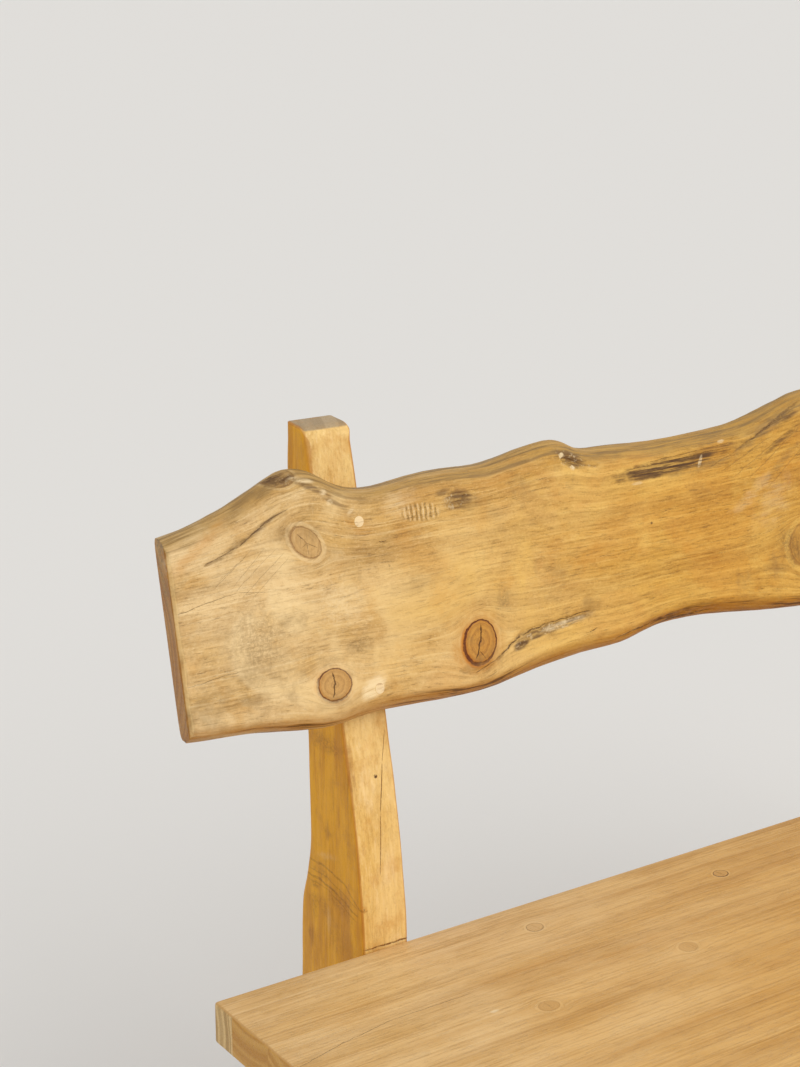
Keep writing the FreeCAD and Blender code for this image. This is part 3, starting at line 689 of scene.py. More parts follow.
def readBoard():
    mesh = nodes[board["node"]].data
    front = max(mesh.polygons, key=lambda p: p.area if p.normal.y < -0.9 else 0)
    rake = math.atan2(front.normal.z, -front.normal.y)
    up, out = Vector((0, math.sin(rake), math.cos(rake))), Vector((0, -math.cos(rake), math.sin(rake)))
    depths = [v.co.dot(out) for v in mesh.vertices]
    seatLow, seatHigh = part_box("seat_stave_1")
    backY = (seatHigh.z * math.sin(rake) - min(depths)) / math.cos(rake)
    left, right = (corner.x - seatLow.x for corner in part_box(board["node"]))
    return {"origin": Vector((seatLow.x, backY, seatHigh.z)), "up": up, "out": out, "left": left,
            "right": right, "thickness": max(depths) - min(depths)}


def edgeHeight(surface, place, along, deep, start, way):  # where the CAD outline lies at one depth
    origin, up = place["origin"], place["up"]
    hit = surface.ray_cast(origin + alongX * along + place["out"] * deep + up * start, up * way)[0]
    return (hit - origin).dot(up)


def sectionLoop(low, high, depths, thick):  # up the front face, over the top, down the back, underneath
    rows = np.linspace(0, 1, board["frontRows"], endpoint=False)
    front = [(thick, low[-1] + t * (high[-1] - low[-1])) for t in rows]
    edge, index = np.linspace(0, len(depths) - 1, board["edgeRows"]), np.arange(len(depths))
    depthAt, lowAt, highAt = (np.interp(edge, index, values) for values in (depths, low, high))
    rows = np.linspace(0, 1, board["backRows"] + 2)[1:-1]
    back = [(0.0, high[0] + t * (low[0] - high[0])) for t in rows]
    return np.array(front + list(zip(depthAt[::-1], highAt[::-1])) + back + list(zip(depthAt, lowAt))[:-1])


def heightSpan(loops):
    return loops[..., 1].min(1, keepdims=True), loops[..., 1].max(1, keepdims=True)


def roundLoops(loops, passes):  # softens the arrises and keeps each section's height
    lowest, highest = heightSpan(loops)
    for _ in range(passes):
        loops = (np.roll(loops, 1, 1) + 2 * loops + np.roll(loops, -1, 1)) / 4
    nowLow, nowHigh = heightSpan(loops)
    kept = lowest + (loops[..., 1] - nowLow) / (nowHigh - nowLow) * (highest - lowest)
    return np.stack([loops[..., 0], kept], -1)


def ellipseReach(along, up, centreAlong, centreUp, halfLong, halfHigh, tilt):
    turn = math.radians(tilt)
    x, y = along - centreAlong, up - centreUp
    return np.hypot((x * math.cos(turn) + y * math.sin(turn)) / halfLong,
                    (y * math.cos(turn) - x * math.sin(turn)) / halfHigh)


def lineReach(along, up, points):  # distance to a line through some points
    nearest = np.full(along.shape, 1e6)
    for (x0, y0), (x1, y1) in zip(points, points[1:]):
        run = (x1 - x0) ** 2 + (y1 - y0) ** 2
        t = np.clip(((along - x0) * (x1 - x0) + (up - y0) * (y1 - y0)) / run, 0, 1)
        nearest = np.minimum(nearest, np.hypot(along - x0 - t * (x1 - x0), up - y0 - t * (y1 - y0)))
    return nearest


def waves(along, up, seed, count, shortest, longest, stretch=1.0):  # a smooth random swell, about -1 to 1
    chance = np.random.default_rng(seed)
    total = np.zeros(along.shape)
    for _ in range(count):
        length = math.exp(chance.uniform(math.log(shortest), math.log(longest)))
        turn, phase = chance.uniform(0, 2 * math.pi, 2)
        run = along / stretch * math.cos(turn) + up * math.sin(turn)
        total += np.sin(2 * math.pi * run / length + phase)
    return total / math.sqrt(count)


def boardRelief(along, up):  # height of the worked surface in millimetres, and how much bark is left in it
    height = 0.6 * waves(along, up, 11, 10, 45, 160, 2.5) + 0.26 * waves(along, up, 12, 16, 12, 40, 4.0)
    for *ellipse, rise in board["swells"]:
        height += rise * np.exp(-ellipseReach(along, up, *ellipse) ** 2)
    bark = np.zeros(along.shape)
    rough = waves(along, up, 13, 26, 4.5, 13, 1.8)
    for ellipse in board["barkPatches"]:
        bark = np.maximum(bark, np.exp(-ellipseReach(along, up, *ellipse) ** 4))
    for points, halfWidth, depth in board["grooves"]:
        reach = lineReach(along, up, points) + 0.5 * rough
        groove = np.exp(-(reach / halfWidth) ** 2)
        height -= depth * groove
        bark = np.maximum(bark, groove * 0.6)
    height += bark * (0.75 * rough - 0.5)
    x, y = board["bites"][:2]
    bites = np.maximum(np.cos((along - x + 0.2 * (up - y)) / board["bitePitch"] * 2 * math.pi), 0) ** 2
    height -= board["biteDepth"] * bites * np.exp(-ellipseReach(along, up, *board["bites"]) ** 6)
    return height, bark


def layBrokenTones(colour, look, *layers):  # each layer: where it lies, what breaks it up, and its tone
    for place, begin, full, texture, low, high, least, most, toneName in layers:
        share = remap(place, begin, full) * remap(texture, low, high, least, most)
        colour = mixTone(share, colour, look[toneName])
    return colour


def boardExtra(colour, height, look, at):
    # paler at the left end and golden further on; browner over the waney edges, where the darker top edge and
    # underside are partly the wane's colour and partly painted shade; dark where bark is left
    flat = at["flat"]
    along = separate(flat)[0]
    drift = noise(stretched(flat, 8.0, 10.0, 0.6), 1.0, 4.0, 0.62, 0.7)
    warm = remap(timesPlus(drift - 0.5, 0.5, along), 0.02, 0.56)
    cream = remap(drift, 0.50, 0.64, 0.0, 0.6) * remap(along, 0.5, 0.1, 0.2, 1.0)
    colour = mixTone(cream * (1.0 - at["inside"]), colour, look["cream"])
    colour = mixTone(remap(drift, 0.48, 0.36, 0.0, 0.7), colour, look["ochre"], "MULTIPLY")
    colour = mixTone(warm, colour, look["honey"], "MULTIPLY")
    ochre = noise(flat, 21.0, 4.0, 0.65)
    colour = mixTone(remap(ochre, 0.52, 0.68, 0.0, 0.55), colour, look["ochre"], "MULTIPLY")
    haze = noise(vector("ADD", flat, (3.1, 1.7, 0.0)), 12.0, 6.0, 0.72)
    colour = layTones(colour, look, (haze, 0.54, 0.70, 0.42, "smoke"))
    top, low, bark = separate(readFrom(colour.tree, "Attribute", "Vector", attribute_name="wane"))
    streaks = noise(stretched(at["place"], 8.0, 170.0, 2.0), 1.0, 4.0, 0.64)
    ragged = timesPlus(ochre - 0.5, 0.9, top)
    # the top wane's olive and smoke and the low wane's amber and dark are partly wane colour and partly
    # painted shade over the top edge and the underside
    colour = layBrokenTones(colour, look, (ragged, 0.15, 0.8, streaks, 0.34, 0.62, 0.25, 0.8, "olive"),
                     (top, 0.15, 0.7, streaks, 0.52, 0.62, 0.0, 0.75, "smoke"),
                     (low, 0.05, 0.75, streaks, 0.36, 0.6, 0.25, 0.85, "amberDeep"),
                     (low, 0.15, 0.6, streaks, 0.54, 0.62, 0.0, 0.8, "dark"))
    crumbs = noise(flat, 230.0, 4.0, 0.7)
    colour = layBrokenTones(colour, look, (bark, 0.2, 0.9, streaks, 0.40, 0.60, 0.1, 0.85, "barkTone"),
                     (bark, 0.25, 0.8, crumbs, 0.54, 0.64, 0.0, 0.5, "chalk"))
    return colour, timesPlus(bark * crumbs, 3.0, height)


boardLook = makeLook(
    pale=(225, 192, 138), golden=(208, 168, 102), deep=(172, 130, 70), line=(138, 102, 56),
    # the amber for the lower wane is partly the wane's colour and partly painted shade of the underside
    sheen=(240, 214, 166), cream=(240, 214, 166), arris=(236, 202, 140), amberDeep=(172, 114, 38),
    olive=(168, 132, 72), barkTone=(104, 72, 38), endGrain=(162, 106, 38), endPale=(186, 130, 54),
    honey=(0.97, 0.81, 0.35, 1.0),  # multiplied in towards the right
    ochre=(0.93, 0.82, 0.62, 1.0),
    # the board's paler arris along its eased ends is partly a pale strip of wood and partly a painted
    # highlight
    strip=0.6, calm=0.35, heart=(330.0, -85.0), ring=7.5, seed=4.0, sway=22.0, contrast=0.55, mottle=0.8,
    strokes=0.26, scratches=0.4, specks=0.3, roughness=0.5, grainAttribute="grainPlace",
)


def addAttribute(mesh, name, values):
    attribute = mesh.attributes.new(name, "FLOAT_VECTOR", "POINT")
    attribute.data.foreach_set("vector", values.ravel().astype(np.float32))


def makeBoard(place):
    surface = surfaceOf(board["node"])
    left, right, thick = place["left"] / mm, place["right"] / mm, place["thickness"]
    middle, half, chamfer = (left + right) / 2, (right - left) / 2, board["endChamfer"]

    def slanted(along, share):  # moves a place in from the end, more so towards the back
        return middle + (along - middle) * (1 - board["endSlant"] * (1 - share) / half)

    ends = np.linspace(0, chamfer, 4)
    stations = np.concatenate([
        left + ends, np.linspace(left + chamfer, middle, board["leftStations"])[1:-1],
        np.linspace(middle, right - chamfer, board["rightStations"])[:-1], right - ends[::-1]])
    depths = thick * np.array(board["levels"])
    loops = []
    for station in np.clip(stations, left + board["endProbe"], right - board["endProbe"]):
        places = [slanted(station, deep / thick) * mm for deep in depths]
        low, high = ([edgeHeight(surface, place, x, deep, start, way) for x, deep in zip(places, depths)]
                     for start, way in ((0.05, 1), (0.65, -1)))
        loops.append(sectionLoop(low, high, depths, thick))
    loops = roundLoops(np.array(loops), board["rounding"]) / mm  # station, row, (depth, height)
    thick /= mm
    along = np.repeat(stations[:, None], loops.shape[1], 1)
    deep, up = loops[..., 0], loops[..., 1]
    lowest, highest = heightSpan(loops)
    share = (up - lowest) / (highest - lowest)
    # the front's worked relief fades out round the edges, where long ripples take over
    tangent = np.roll(loops, -1, 1) - np.roll(loops, 1, 1)
    length = np.hypot(tangent[..., 0], tangent[..., 1]) + 1e-9
    outward, upward = tangent[..., 1] / length, -tangent[..., 0] / length
    facing = np.clip(outward, 0, 1)
    relief, bark = boardRelief(along, up)
    ripples = 0.55 * waves(along, up + deep, 14, 16, 6, 30, 7.0)
    height = relief * facing ** 0.7 + ripples * (1 - np.abs(outward))
    clear = np.ones(up.shape)
    for plugUp in board["plugsUp"]:
        for plugAlong in board["plugsAlong"]:
            reach = ellipseReach(along, up, plugAlong, plugUp, board["plugFlat"], board["plugFlat"], 0)
            clear *= 1 - np.exp(-reach ** 4)
    height = np.where(outward < -0.5, 0.1 * ripples, height * clear)
    deep, up = deep + height * outward, up + height * upward
    fromEnd = np.minimum(along - left, right - along)
    cut = chamfer * np.clip(1 - fromEnd / chamfer, 0, 1) * (1 + 0.25 * waves(up, along * 0, 15, 6, 20, 90))
    deep = np.minimum(deep, thick - cut)
    points = np.array(place["origin"]) + mm * sum(
        values[..., None] * np.array(axis)
        for values, axis in ((slanted(along, deep / thick), alongX), (up, place["up"]), (deep, place["out"])))
    axes = (tuple(place["origin"]), alongX, place["up"], place["out"])
    marks = [{**board["marks"], "axes": axes, "deeper": thick * 0.4}]
    look = {**boardLook, "knots": board["knots"], "marks": marks}
    piece = newPiece("liveEdgeBoard", points.reshape(-1, 3), tubeFaces(*loops.shape[:2]),
                     paintWood("oiledLiveEdge", look, axes, boardExtra))
    shadeSmooth(piece.data)
    piece.data.polygons[-1].use_smooth = piece.data.polygons[-2].use_smooth = False
    # grain runs along the board, and follows the outline near the edges
    edgeward = np.abs(2 * share - 1) ** 1.2
    flow = up * (1 - edgeward) + (lowest.mean() + share * (highest.mean() - lowest.mean())) * edgeward
    addAttribute(piece.data, "grainPlace", np.stack([along, flow, deep], -1) * mm)

    # these masks also spread over the whole top edge and underside, where their darker tones are painted
    # shade
    def wane(fromEdge, nearer, reach, strength):
        return np.clip(strength * np.exp(-(fromEdge / reach) ** 2) + 0.6 * nearer * (1 - facing ** 2), 0, 1)

    sawn = 1 - np.clip(-1.4 * outward, 0, 1)  # the back is sawn clean
    addAttribute(piece.data, "wane", np.stack([
        wane(highest - up, share > 0.5, *board["topWane"]) * sawn,
        wane(up - lowest, share < 0.5, *board["lowWane"]) * sawn, bark * facing], -1))
    handOver(piece, board["node"])
    print("back board made,", len(piece.data.polygons), "faces")


# Seat: each stave of the CAD seat is cut again with hand-eased outer edges

seat = {
    "staves": 8,
    "easing": 3.2,
    "segments": 4,
    "knots": [
        (320, 98, 9, 7.5, 20, 0.0, 0.5, 0.0), (546, 86, 8, 7, 10, 0.0, 1.0, 0.4),
        (238, -27, 10, 8, 0, 0.05, 0.2, 0.2), (413, -13, 10, 8, 15, 0.0, 0.15, 0.0),
        (640, -150, 11, 8, 0, 0.3, 0.5, 0.4), (842, 40, 10, 8, 0, 0.1, 0.7, 0.5),
        (985, -95, 13, 9, -10, 0.4, 0.6, 0.6), (1130, 120, 9, 8, 0, 0.1, 0.5, 0.2),
        (1240, -10, 12, 9, 12, 0.3, 0.8, 0.6), (1385, -190, 11, 9, 0, 0.2, 0.5, 0.3),
    ],
    "marks": {
        "slits": [(0, 7, 60, 22, 0.9, 0.6), (52, 20, 112, 30, 0.9, 0.6), (106, 30, 196, 29, 0.8, 0.5)],
        "smudges": [
            (193, -8, 6, 3, 0, 0.8, 0.6, "chalk"), (270, 40, 90, 12, 3, 0.25, 0.8, "amber"),
            # the pale patch 120 mm along and 100 mm back, at the seat's rear left, is a painted reflection
            (120, 100, 120, 30, 0, 0.25, 0.9, "sheen"), (420, 20, 150, 6, 4, 0.3, 0.9, "amber"),
            (600, -60, 180, 7, 0, 0.3, 0.9, "amber"), (300, -120, 160, 6, 2, 0.3, 0.9, "amber"),
            (520, -186, 160, 9, 0, 0.35, 0.7, "sheen"), (90, 60, 70, 30, 0, 0.2, 0.8, "amber"),
        ],
    },
}

seatLook = makeLook(
    pale=(232, 195, 138), golden=(220, 178, 114), deep=(198, 150, 86), line=(164, 118, 60),
    sheen=(242, 210, 154), knotPlain=(208, 168, 110), knotDeep=(182, 140, 86), knotRing=(112, 78, 40),
    endGrain=(196, 138, 52), endPale=(214, 162, 78), arris=(204, 156, 92), honey=(0.92, 0.80, 0.54, 1.0),
    ring=9.0, sway=24.0, contrast=0.62, calm=0.7, mottle=0.28, fibre=2.6, strokes=0.08, specks=0.10,
    scratches=0.1, roughness=0.44,
)


def seatExtra(colour, height, look, at):  # deeper gold towards the right and front
    along, across = separate(at["flat"])[:2]
    drift = noise(at["flat"], 6.0, 3.0, 0.55) - 0.5
    warm = timesPlus(across, -0.6, timesPlus(drift, 0.5, along))
    return mixTone(remap(warm, 0.05, 0.6), colour, look["honey"], "MULTIPLY"), height


def cutStave(number, outline, material):
    low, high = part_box(f"seat_stave_{number}")
    plan = bmesh.new()
    bmesh.ops.create_cube(plan, size=1.0)
    for vertex in plan.verts:
        vertex.co = [low[k] + (vertex.co[k] + 0.5) * (high[k] - low[k]) for k in range(3)]
    planes = [(k, corner[k]) for k in range(3) for corner in outline]
    outer = [edge for edge in plan.edges if 1 < sum(
        all(abs(v.co[k] - value) < 0.05 * mm for v in edge.verts) for k, value in planes)]
    bmesh.ops.bevel(plan, geom=outer, offset=seat["easing"] * mm, segments=seat["segments"], profile=0.5,
                    affect="EDGES", clamp_overlap=True)
    bmesh.ops.recalc_face_normals(plan, faces=plan.faces)
    piece = addShape(f"seatStave{number}", plan)
    piece.data.materials.append(material)
    shadeSmooth(piece.data, 40)
    handOver(piece, f"seat_stave_{number}")


def dressSeat():
    boxes = [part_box(f"seat_stave_{number}") for number in range(1, seat["staves"] + 1)]
    outline = [Vector([choose(box[end][k] for box in boxes) for k in range(3)])
               for end, choose in enumerate((min, max))]
    axes = ((outline[0].x, 0.0, outline[1].z), alongX, alongY, alongZ)
    marks = [{**seat["marks"], "axes": axes, "deeper": -6.0}]
    chance = np.random.default_rng(21)
    for number, (low, high) in enumerate(boxes, 1):
        middle = (low.y + high.y) / 2 / mm
        heart = (middle + chance.uniform(-25, 25), chance.choice((-1, 1)) * chance.uniform(45, 110) - 20)
        shade = chance.uniform(-7, 7)
        look = makeLook(seatLook, knots=seat["knots"], marks=marks, heart=heart, seed=1.7 * number,
                        golden=(220 + shade, 178 + shade, 114 + shade))
        if number == 1:  # this stave shows its rings upright in the end
            look = makeLook(look, heart=(middle + 400, -20), ring=7.0, endGrain=(186, 148, 88),
                            endPale=(228, 194, 132))
        cutStave(number, outline, paintWood(f"oiledSeat{number}", look, axes, seatExtra))
    print("seat made,", seat["staves"], "staves")


# Posts and front legs: shaped planks, lofted through rounded sections that are read off the CAD solids

upright = {
    "ringStep": 7.0,
    "shoulder": 18.0,      # a post's crown begins this far below its top, a leg ends at legShoulder
    "legShoulder": 0.4,
    "footEasing": 1.2,
    "easing": 3.4,
    "easingSwing": 0.7,    # hand work: the easing swells and shrinks by this much
    "easingBeat": 37,
    "uneven": 0.35,
    "calmReach": 40,       # a post's unevenness fades out this far under its shoulder
    "halfDepth": 30,
    "topEasing": 4.0,      # over the sides and back of a post's top
    "topCorner": 3.5,      # a post's corners grow rounder over cornerReach, towards its top
    "cornerReach": 60,
    "crownInsets": (0.02, 0.3, 0.8, 1.5, 2.4, 3.4, 4.6, 6.0, 8.0, 10.5, 13.5),
    "faceSteps": 10,
    "cornerSteps": 5,
    "probeShift": 15.0,    # off the middle, clear of the mortises
    "faceMarks": {
        # the last slit, 1.2 mm above the seat, is the dark joint where the post meets the seat, partly
        # painted contact shadow
        "slits": [(200, 203, 171, 196, 0.9, 0.7), (171, 196, 126, 187.5, 1.1, 0.9),
                  (126, 187.5, 68, 181, 1.0, 0.8), (1.2, 159, 1.2, 214, 2.0, 0.9)],
        "smudges": [(160, 187, 2.3, 2.3, 0, 1.0, 0.3, "dark"), (41, 161, 5, 4, 0, 0.6, 0.5, "amber"),
                    (41, 161, 1.6, 1.4, 0, 0.7, 0.4, "dark"), (150, 176, 26, 11, 5, 0.45, 0.5, "sheen"),
                    (75, 192, 22, 9, 10, 0.45, 0.5, "sheen"), (66, 176, 12, 9, 0, 0.35, 0.7, "amber"),
                    (20, 185, 14, 14, 0, 0.35, 0.8, "amber"), (445, 185, 30, 16, 0, 0.3, 0.8, "amber")],
    },
    "sideMarks": {
        "slits": [(59, 96, 61, 70, 2.6, 0.34), (62, 78, 59, 52, 2.8, 0.34), (60, 58, 54, 26, 2.6, 0.34),
                  (55, 32, 38, 2, 2.4, 0.34), (43, 98, 44, 70, 3.0, 0.4), (45, 78, 42, 48, 3.0, 0.4),
                  (43, 54, 32, 8, 2.6, 0.36), (50, 94, 52, 60, 1.6, 0.3), (52, 64, 40, 10, 1.6, 0.3),
                  (38, 96, 40, 60, 1.6, 0.25), (40, 64, 26, 10, 1.6, 0.25)],
        "smudges": [(99, 61, 14, 6, 0, 0.55, 0.8, "amberDark"), (-20, 91, 16, 9, 0, 0.5, 0.8, "amberDark"),
                    (13, 88, 18, 12, 0, 0.35, 0.8, "amberDark"), (140, 50, 40, 3, 0, 0.35, 0.8, "amberDark"),
                    (34, 40, 16, 34, -18, 0.4, 0.8, "amberDark"),
                    (-10, 40, 26, 30, 0, 0.25, 0.9, "amberDark"),
                    (52, 70, 7, 24, -6, 0.4, 0.7, "amberDark"), (10, 60, 22, 5, 0, 0.3, 0.9, "sheen"),
                    (72, 66, 5, 24, 12, 0.22, 0.9, "chalk"), (36, 84, 7, 14, 0, 0.5, 0.8, "amberDark"),
                    (20, 70, 18, 22, 0, 0.35, 0.9, "amberDark"), (160, 24, 90, 9, 0, 0.45, 0.9, "amberDark"),
                    # the band 186 mm up, just under the back board, is painted shadow of the board
                    (186, 60, 12, 50, 0, 0.5, 0.9, "amberDark")],
    },
}

postLook = makeLook(
    pale=(238, 201, 130), golden=(226, 183, 102), deep=(196, 146, 68), line=(164, 114, 52),
    # the side tones are the sides' edge-grain amber, deepened by painted shade and warm bounce light
    sheen=(246, 214, 158), side=(238, 170, 12), sideDeep=(210, 140, 4), endGrain=(160, 138, 108),
    endPale=(176, 154, 122), endDeep=(136, 112, 78), crack=(128, 76, 24), rim=(190, 122, 40),
    amberDark=(150, 92, 32), endFrom=(0.72, 0.82), strip=0.0, calm=0.5, ring=13.0, sway=26.0, contrast=0.4,
    mottle=0.7, strokes=0.1, scratches=0.0, specks=0.2,
)


def postExtra(colour, height, look, at):  # the planks' sides are painted a deeper amber: partly their edge grain, partly painted shade and warm bounce light
    streaks = noise(stretched(at["place"], 9.0, 60.0), 1.0, 5.0, 0.66)
    sideGrainAndShade = mixTone(remap(streaks, 0.40, 0.64), look["side"], look["sideDeep"])
    sideGrainAndShade = mixTone(0.12, sideGrainAndShade, colour)
    sideways = abs(separate(at["normal"])[0])
    colour = mixTone(remap(sideways, 0.5, 0.9), colour, sideGrainAndShade)
    # darker amber along the rounded corners between the front and the sides
    arrisAmber = remap(sideways, 0.15, 0.5) * remap(sideways, 0.98, 0.8)
    colour = mixTone(arrisAmber * remap(streaks, 0.3, 0.6, 0.3, 0.8), colour, look["rim"])
    mottle = noise(at["flat"], 34.0, 4.0, 0.65)
    return layTones(colour, look, (mottle, 0.5, 0.7, 0.4, "amber")), height


def uprightSection(front, back, left, right, easing):  # points round a plank's section, with rounded corners
    corners = [(left + easing, front + easing, 180), (right - easing, front + easing, 270),
               (right - easing, back - easing, 0), (left + easing, back - easing, 90)]

    def onCorner(number, turn):
        x, y, start = corners[number % 4]
        angle = math.radians(start + turn)
        return x + easing * math.cos(angle), y + easing * math.sin(angle)

    ring = []
    for number in range(4):
        for step in range(upright["cornerSteps"] + 1):
            ring.append(onCorner(number, 90 * step / upright["cornerSteps"]))
        (startX, startY), (endX, endY) = ring[-1], onCorner(number + 1, 0)
        for step in range(1, upright["faceSteps"]):
            t = step / upright["faceSteps"]
            ring.append((startX + t * (endX - startX), startY + t * (endY - startY)))
    return np.array(ring)


def loftUpright(node, seed, material):
    low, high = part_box(node)
    surface = surfaceOf(node)
    left, right, bottom, top = (value / mm for value in (low.x, high.x, low.z, high.z))
    probe = (low.x + high.x) / 2 + upright["probeShift"] * mm
    isPost = "post" in node
    shoulder = top - upright["shoulder" if isPost else "legShoulder"]

    def across(height):  # the plank's front and back at one height
        return [surface.ray_cast(Vector((probe, far, height * mm)), way)[0].y / mm
                for far, way in ((-2.0, alongY), (2.0, -alongY))]

    steps = int((shoulder - bottom) / upright["ringStep"])
    heights = np.concatenate([[bottom, bottom + 1.2], np.linspace(bottom + 5, shoulder, steps)])
    sections = []
    for height in heights:
        front, back = across(max(height, bottom + 0.4))
        easing = upright["easing"] + upright["easingSwing"] * math.sin(height / upright["easingBeat"] + seed)
        if isPost:
            easing += upright["topCorner"] * max(0, 1 - (shoulder - height) / upright["cornerReach"]) ** 2
        shrink = upright["footEasing"] if height <= bottom else 0.0
        sections.append(uprightSection(front + shrink, back - shrink, left + shrink, right - shrink, easing))
    sections = np.array(sections)
    zs = np.repeat(heights[:, None], sections.shape[1], 1)
    middleX, middleY = (left + right) / 2, sections[..., 1].mean(1, keepdims=True)
    swell = upright["uneven"] * waves(zs, sections[..., 0] + 2.2 * sections[..., 1], seed, 14, 25, 140, 1.6)
    if isPost:
        swell *= np.clip((shoulder - zs) / upright["calmReach"], 0, 1)
    awayX = np.clip((sections[..., 0] - middleX) / ((right - left) / 2), -1, 1) ** 9
    awayY = np.clip((sections[..., 1] - middleY) / upright["halfDepth"], -1, 1)
    sections[..., 0] += (swell - 0.2) * awayX
    sections[..., 1] += swell * awayY
    points = list(np.stack([sections[..., 0], sections[..., 1], zs], -1))
    if isPost:  # the crown: smaller and smaller rings, laid on the top
        front, back = across(shoulder)
        ease = upright["topEasing"]
        for inset in upright["crownInsets"]:
            crown = []
            for x, y in uprightSection(front + inset, back - inset, left + inset + 0.2, right - inset - 0.2,
                                       max(easing - inset, 0.6)):
                edge = min(x - left, right - x, back - y, ease)
                drop = ease - math.sqrt(max(ease ** 2 - (ease - edge) ** 2, 0))
                topHere = surface.ray_cast(Vector((probe, y * mm, 2.0)), -alongZ)[0].z / mm
                crown.append((x, y, max(topHere - drop, shoulder + 0.1)))
            points.append(np.array(crown))
    points = np.array(points)
    faces = tubeFaces(*points.shape[:2], False)
    piece = newPiece(pieceName(node), points.reshape(-1, 3) * mm, faces, material)
    shadeSmooth(piece.data, 55)
    handOver(piece, node)


def dressUprights():
    seatLow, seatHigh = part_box("seat_stave_1")
    axes = ((0.0, 0.0, seatHigh.z), alongZ, alongY, alongX)
    faceAxes = ((seatLow.x, boardPlace["origin"].y, seatHigh.z), alongZ, alongX, boardPlace["out"])
    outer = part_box("left_rear_post")[0].x
    sideAxes = ((outer, seatHigh.y + mm, seatHigh.z), alongZ, alongY, Vector((-1, 0, 0)))
    marks = [{**upright["faceMarks"], "axes": faceAxes, "deeper": -26.0},
             {**upright["sideMarks"], "axes": sideAxes, "deeper": -6.0}]
    looks = {
        "left_rear_post": dict(heart=(20.0, 60.0), seed=7.0, marks=marks),
        "right_rear_post": dict(heart=(40.0, -70.0), seed=9.3, knots=[
            (120, 180, 14, 11, 0, 0.3, 0.7, 0.6), (-220, 215, 16, 13, 0, 0.6, 0.8, 0.8)]),
        "left_front_leg": dict(heart=(10.0, 75.0), seed=11.1, knots=[
            (-250, -190, 15, 12, 10, 0.4, 0.7, 0.6)]),
        "right_front_leg": dict(heart=(-30.0, -60.0), seed=12.9),
    }
    for number, (node, look) in enumerate(looks.items(), 3):
        loftUpright(node, number, paintWood(pieceName(node, "oiled"), {**postLook, **look}, axes, postExtra))
    print("posts and front legs made")


# Pegs, plugs and hex-headed screws: one worked shape of each, set out on points by Geometry Nodes

fastening = {
    "pegProud": 1.1,  # the pegs' rounded heads stand out of the posts
    "pegSides": 8,
    "pegEasing": 1.4,
    "plugProud": 0.3,
    "plugSides": 36,
    "plugEasing": 0.35,
    "headSides": 6,
    "headEasing": 1.0,
    "shankSides": 24,
    "shankRadius": 4,
}

pegLook = makeLook(pale=(232, 196, 138), golden=(220, 176, 108), contrast=0.6, mottle=0.4)
plugLook = makeLook(pale=(246, 224, 184), golden=(238, 210, 162), contrast=0.3, mottle=0.1)


def solidsOf(node):  # the lowest and the highest corners of each separate solid in a CAD node
    plan = bmesh.new()
    plan.from_mesh(nodes[node].data)
    bmesh.ops.remove_doubles(plan, verts=plan.verts, dist=1e-6)
    waiting, boxes = set(plan.verts), []
    while waiting:
        group, fresh = set(), {waiting.pop()}
        while fresh:
            vertex = fresh.pop()
            group.add(vertex)
            fresh |= {e.other_vert(vertex) for e in vertex.link_edges} - group
        waiting -= group
        spots = np.array([v.co for v in group])
        boxes.append((*spots.min(0), *spots.max(0)))
    plan.free()
    boxes = np.array(sorted(boxes, reverse=True))
    return boxes[:, :3], boxes[:, 3:]


def prism(plan, sides, radius, low, high, axis, easing=0.0):  # along an axis, its ends' arrises rounded
    turn = alongZ.rotation_difference(axis).to_matrix().to_4x4()
    middle = Matrix.Translation(axis * (low + high) / 2)
    bmesh.ops.create_cone(plan, cap_ends=True, segments=sides, radius1=radius, radius2=radius,
                          depth=high - low, matrix=middle @ turn)
    if easing:
        rims = [e for e in plan.edges if abs((e.verts[0].co - e.verts[1].co).normalized().dot(axis)) < 0.1]
        bmesh.ops.bevel(plan, geom=rims, offset=easing * mm, segments=3, profile=0.5, affect="EDGES")
    return plan


def spreadTree():  # Geometry Nodes: a shape on every point, each turned by its own small amount
    tree, given, out = makeGroup(
        "spreadShape", "Places:Geometry Shape:Object Turn:Vector Seed:Int Material:Material",
        "Geometry:Geometry", "GeometryNodeTree")
    points, shape, turn, back, spread, realize, dress = (tree.nodes.new(kind) for kind in (
        "GeometryNodeMeshToPoints", "GeometryNodeObjectInfo", "FunctionNodeRandomValue",
        "ShaderNodeVectorMath", "GeometryNodeInstanceOnPoints", "GeometryNodeRealizeInstances",
        "GeometryNodeSetMaterial"))
    turn.data_type = "FLOAT_VECTOR"
    back.operation = "SCALE"
    back.inputs["Scale"].default_value = -1.0
    for node, title, value in (
            (points, "Mesh", given["Places"]), (shape, "Object", given["Shape"]),
            (back, "Vector", given["Turn"]), (turn, "Min", back), (turn, "Max", given["Turn"]),
            (turn, "Seed", given["Seed"]), (spread, "Points", points), (spread, "Instance", shape),
            (spread, "Rotation", turn), (realize, "Geometry", spread), (dress, "Geometry", realize),
            (dress, "Material", given["Material"])):
        if not isinstance(value, Reading):
            value = Reading(value.outputs.get("Geometry") or value.outputs[0])
        feed(node.inputs[title], value)
    feed(out["Geometry"], Reading(dress.outputs[0]))
    return tree


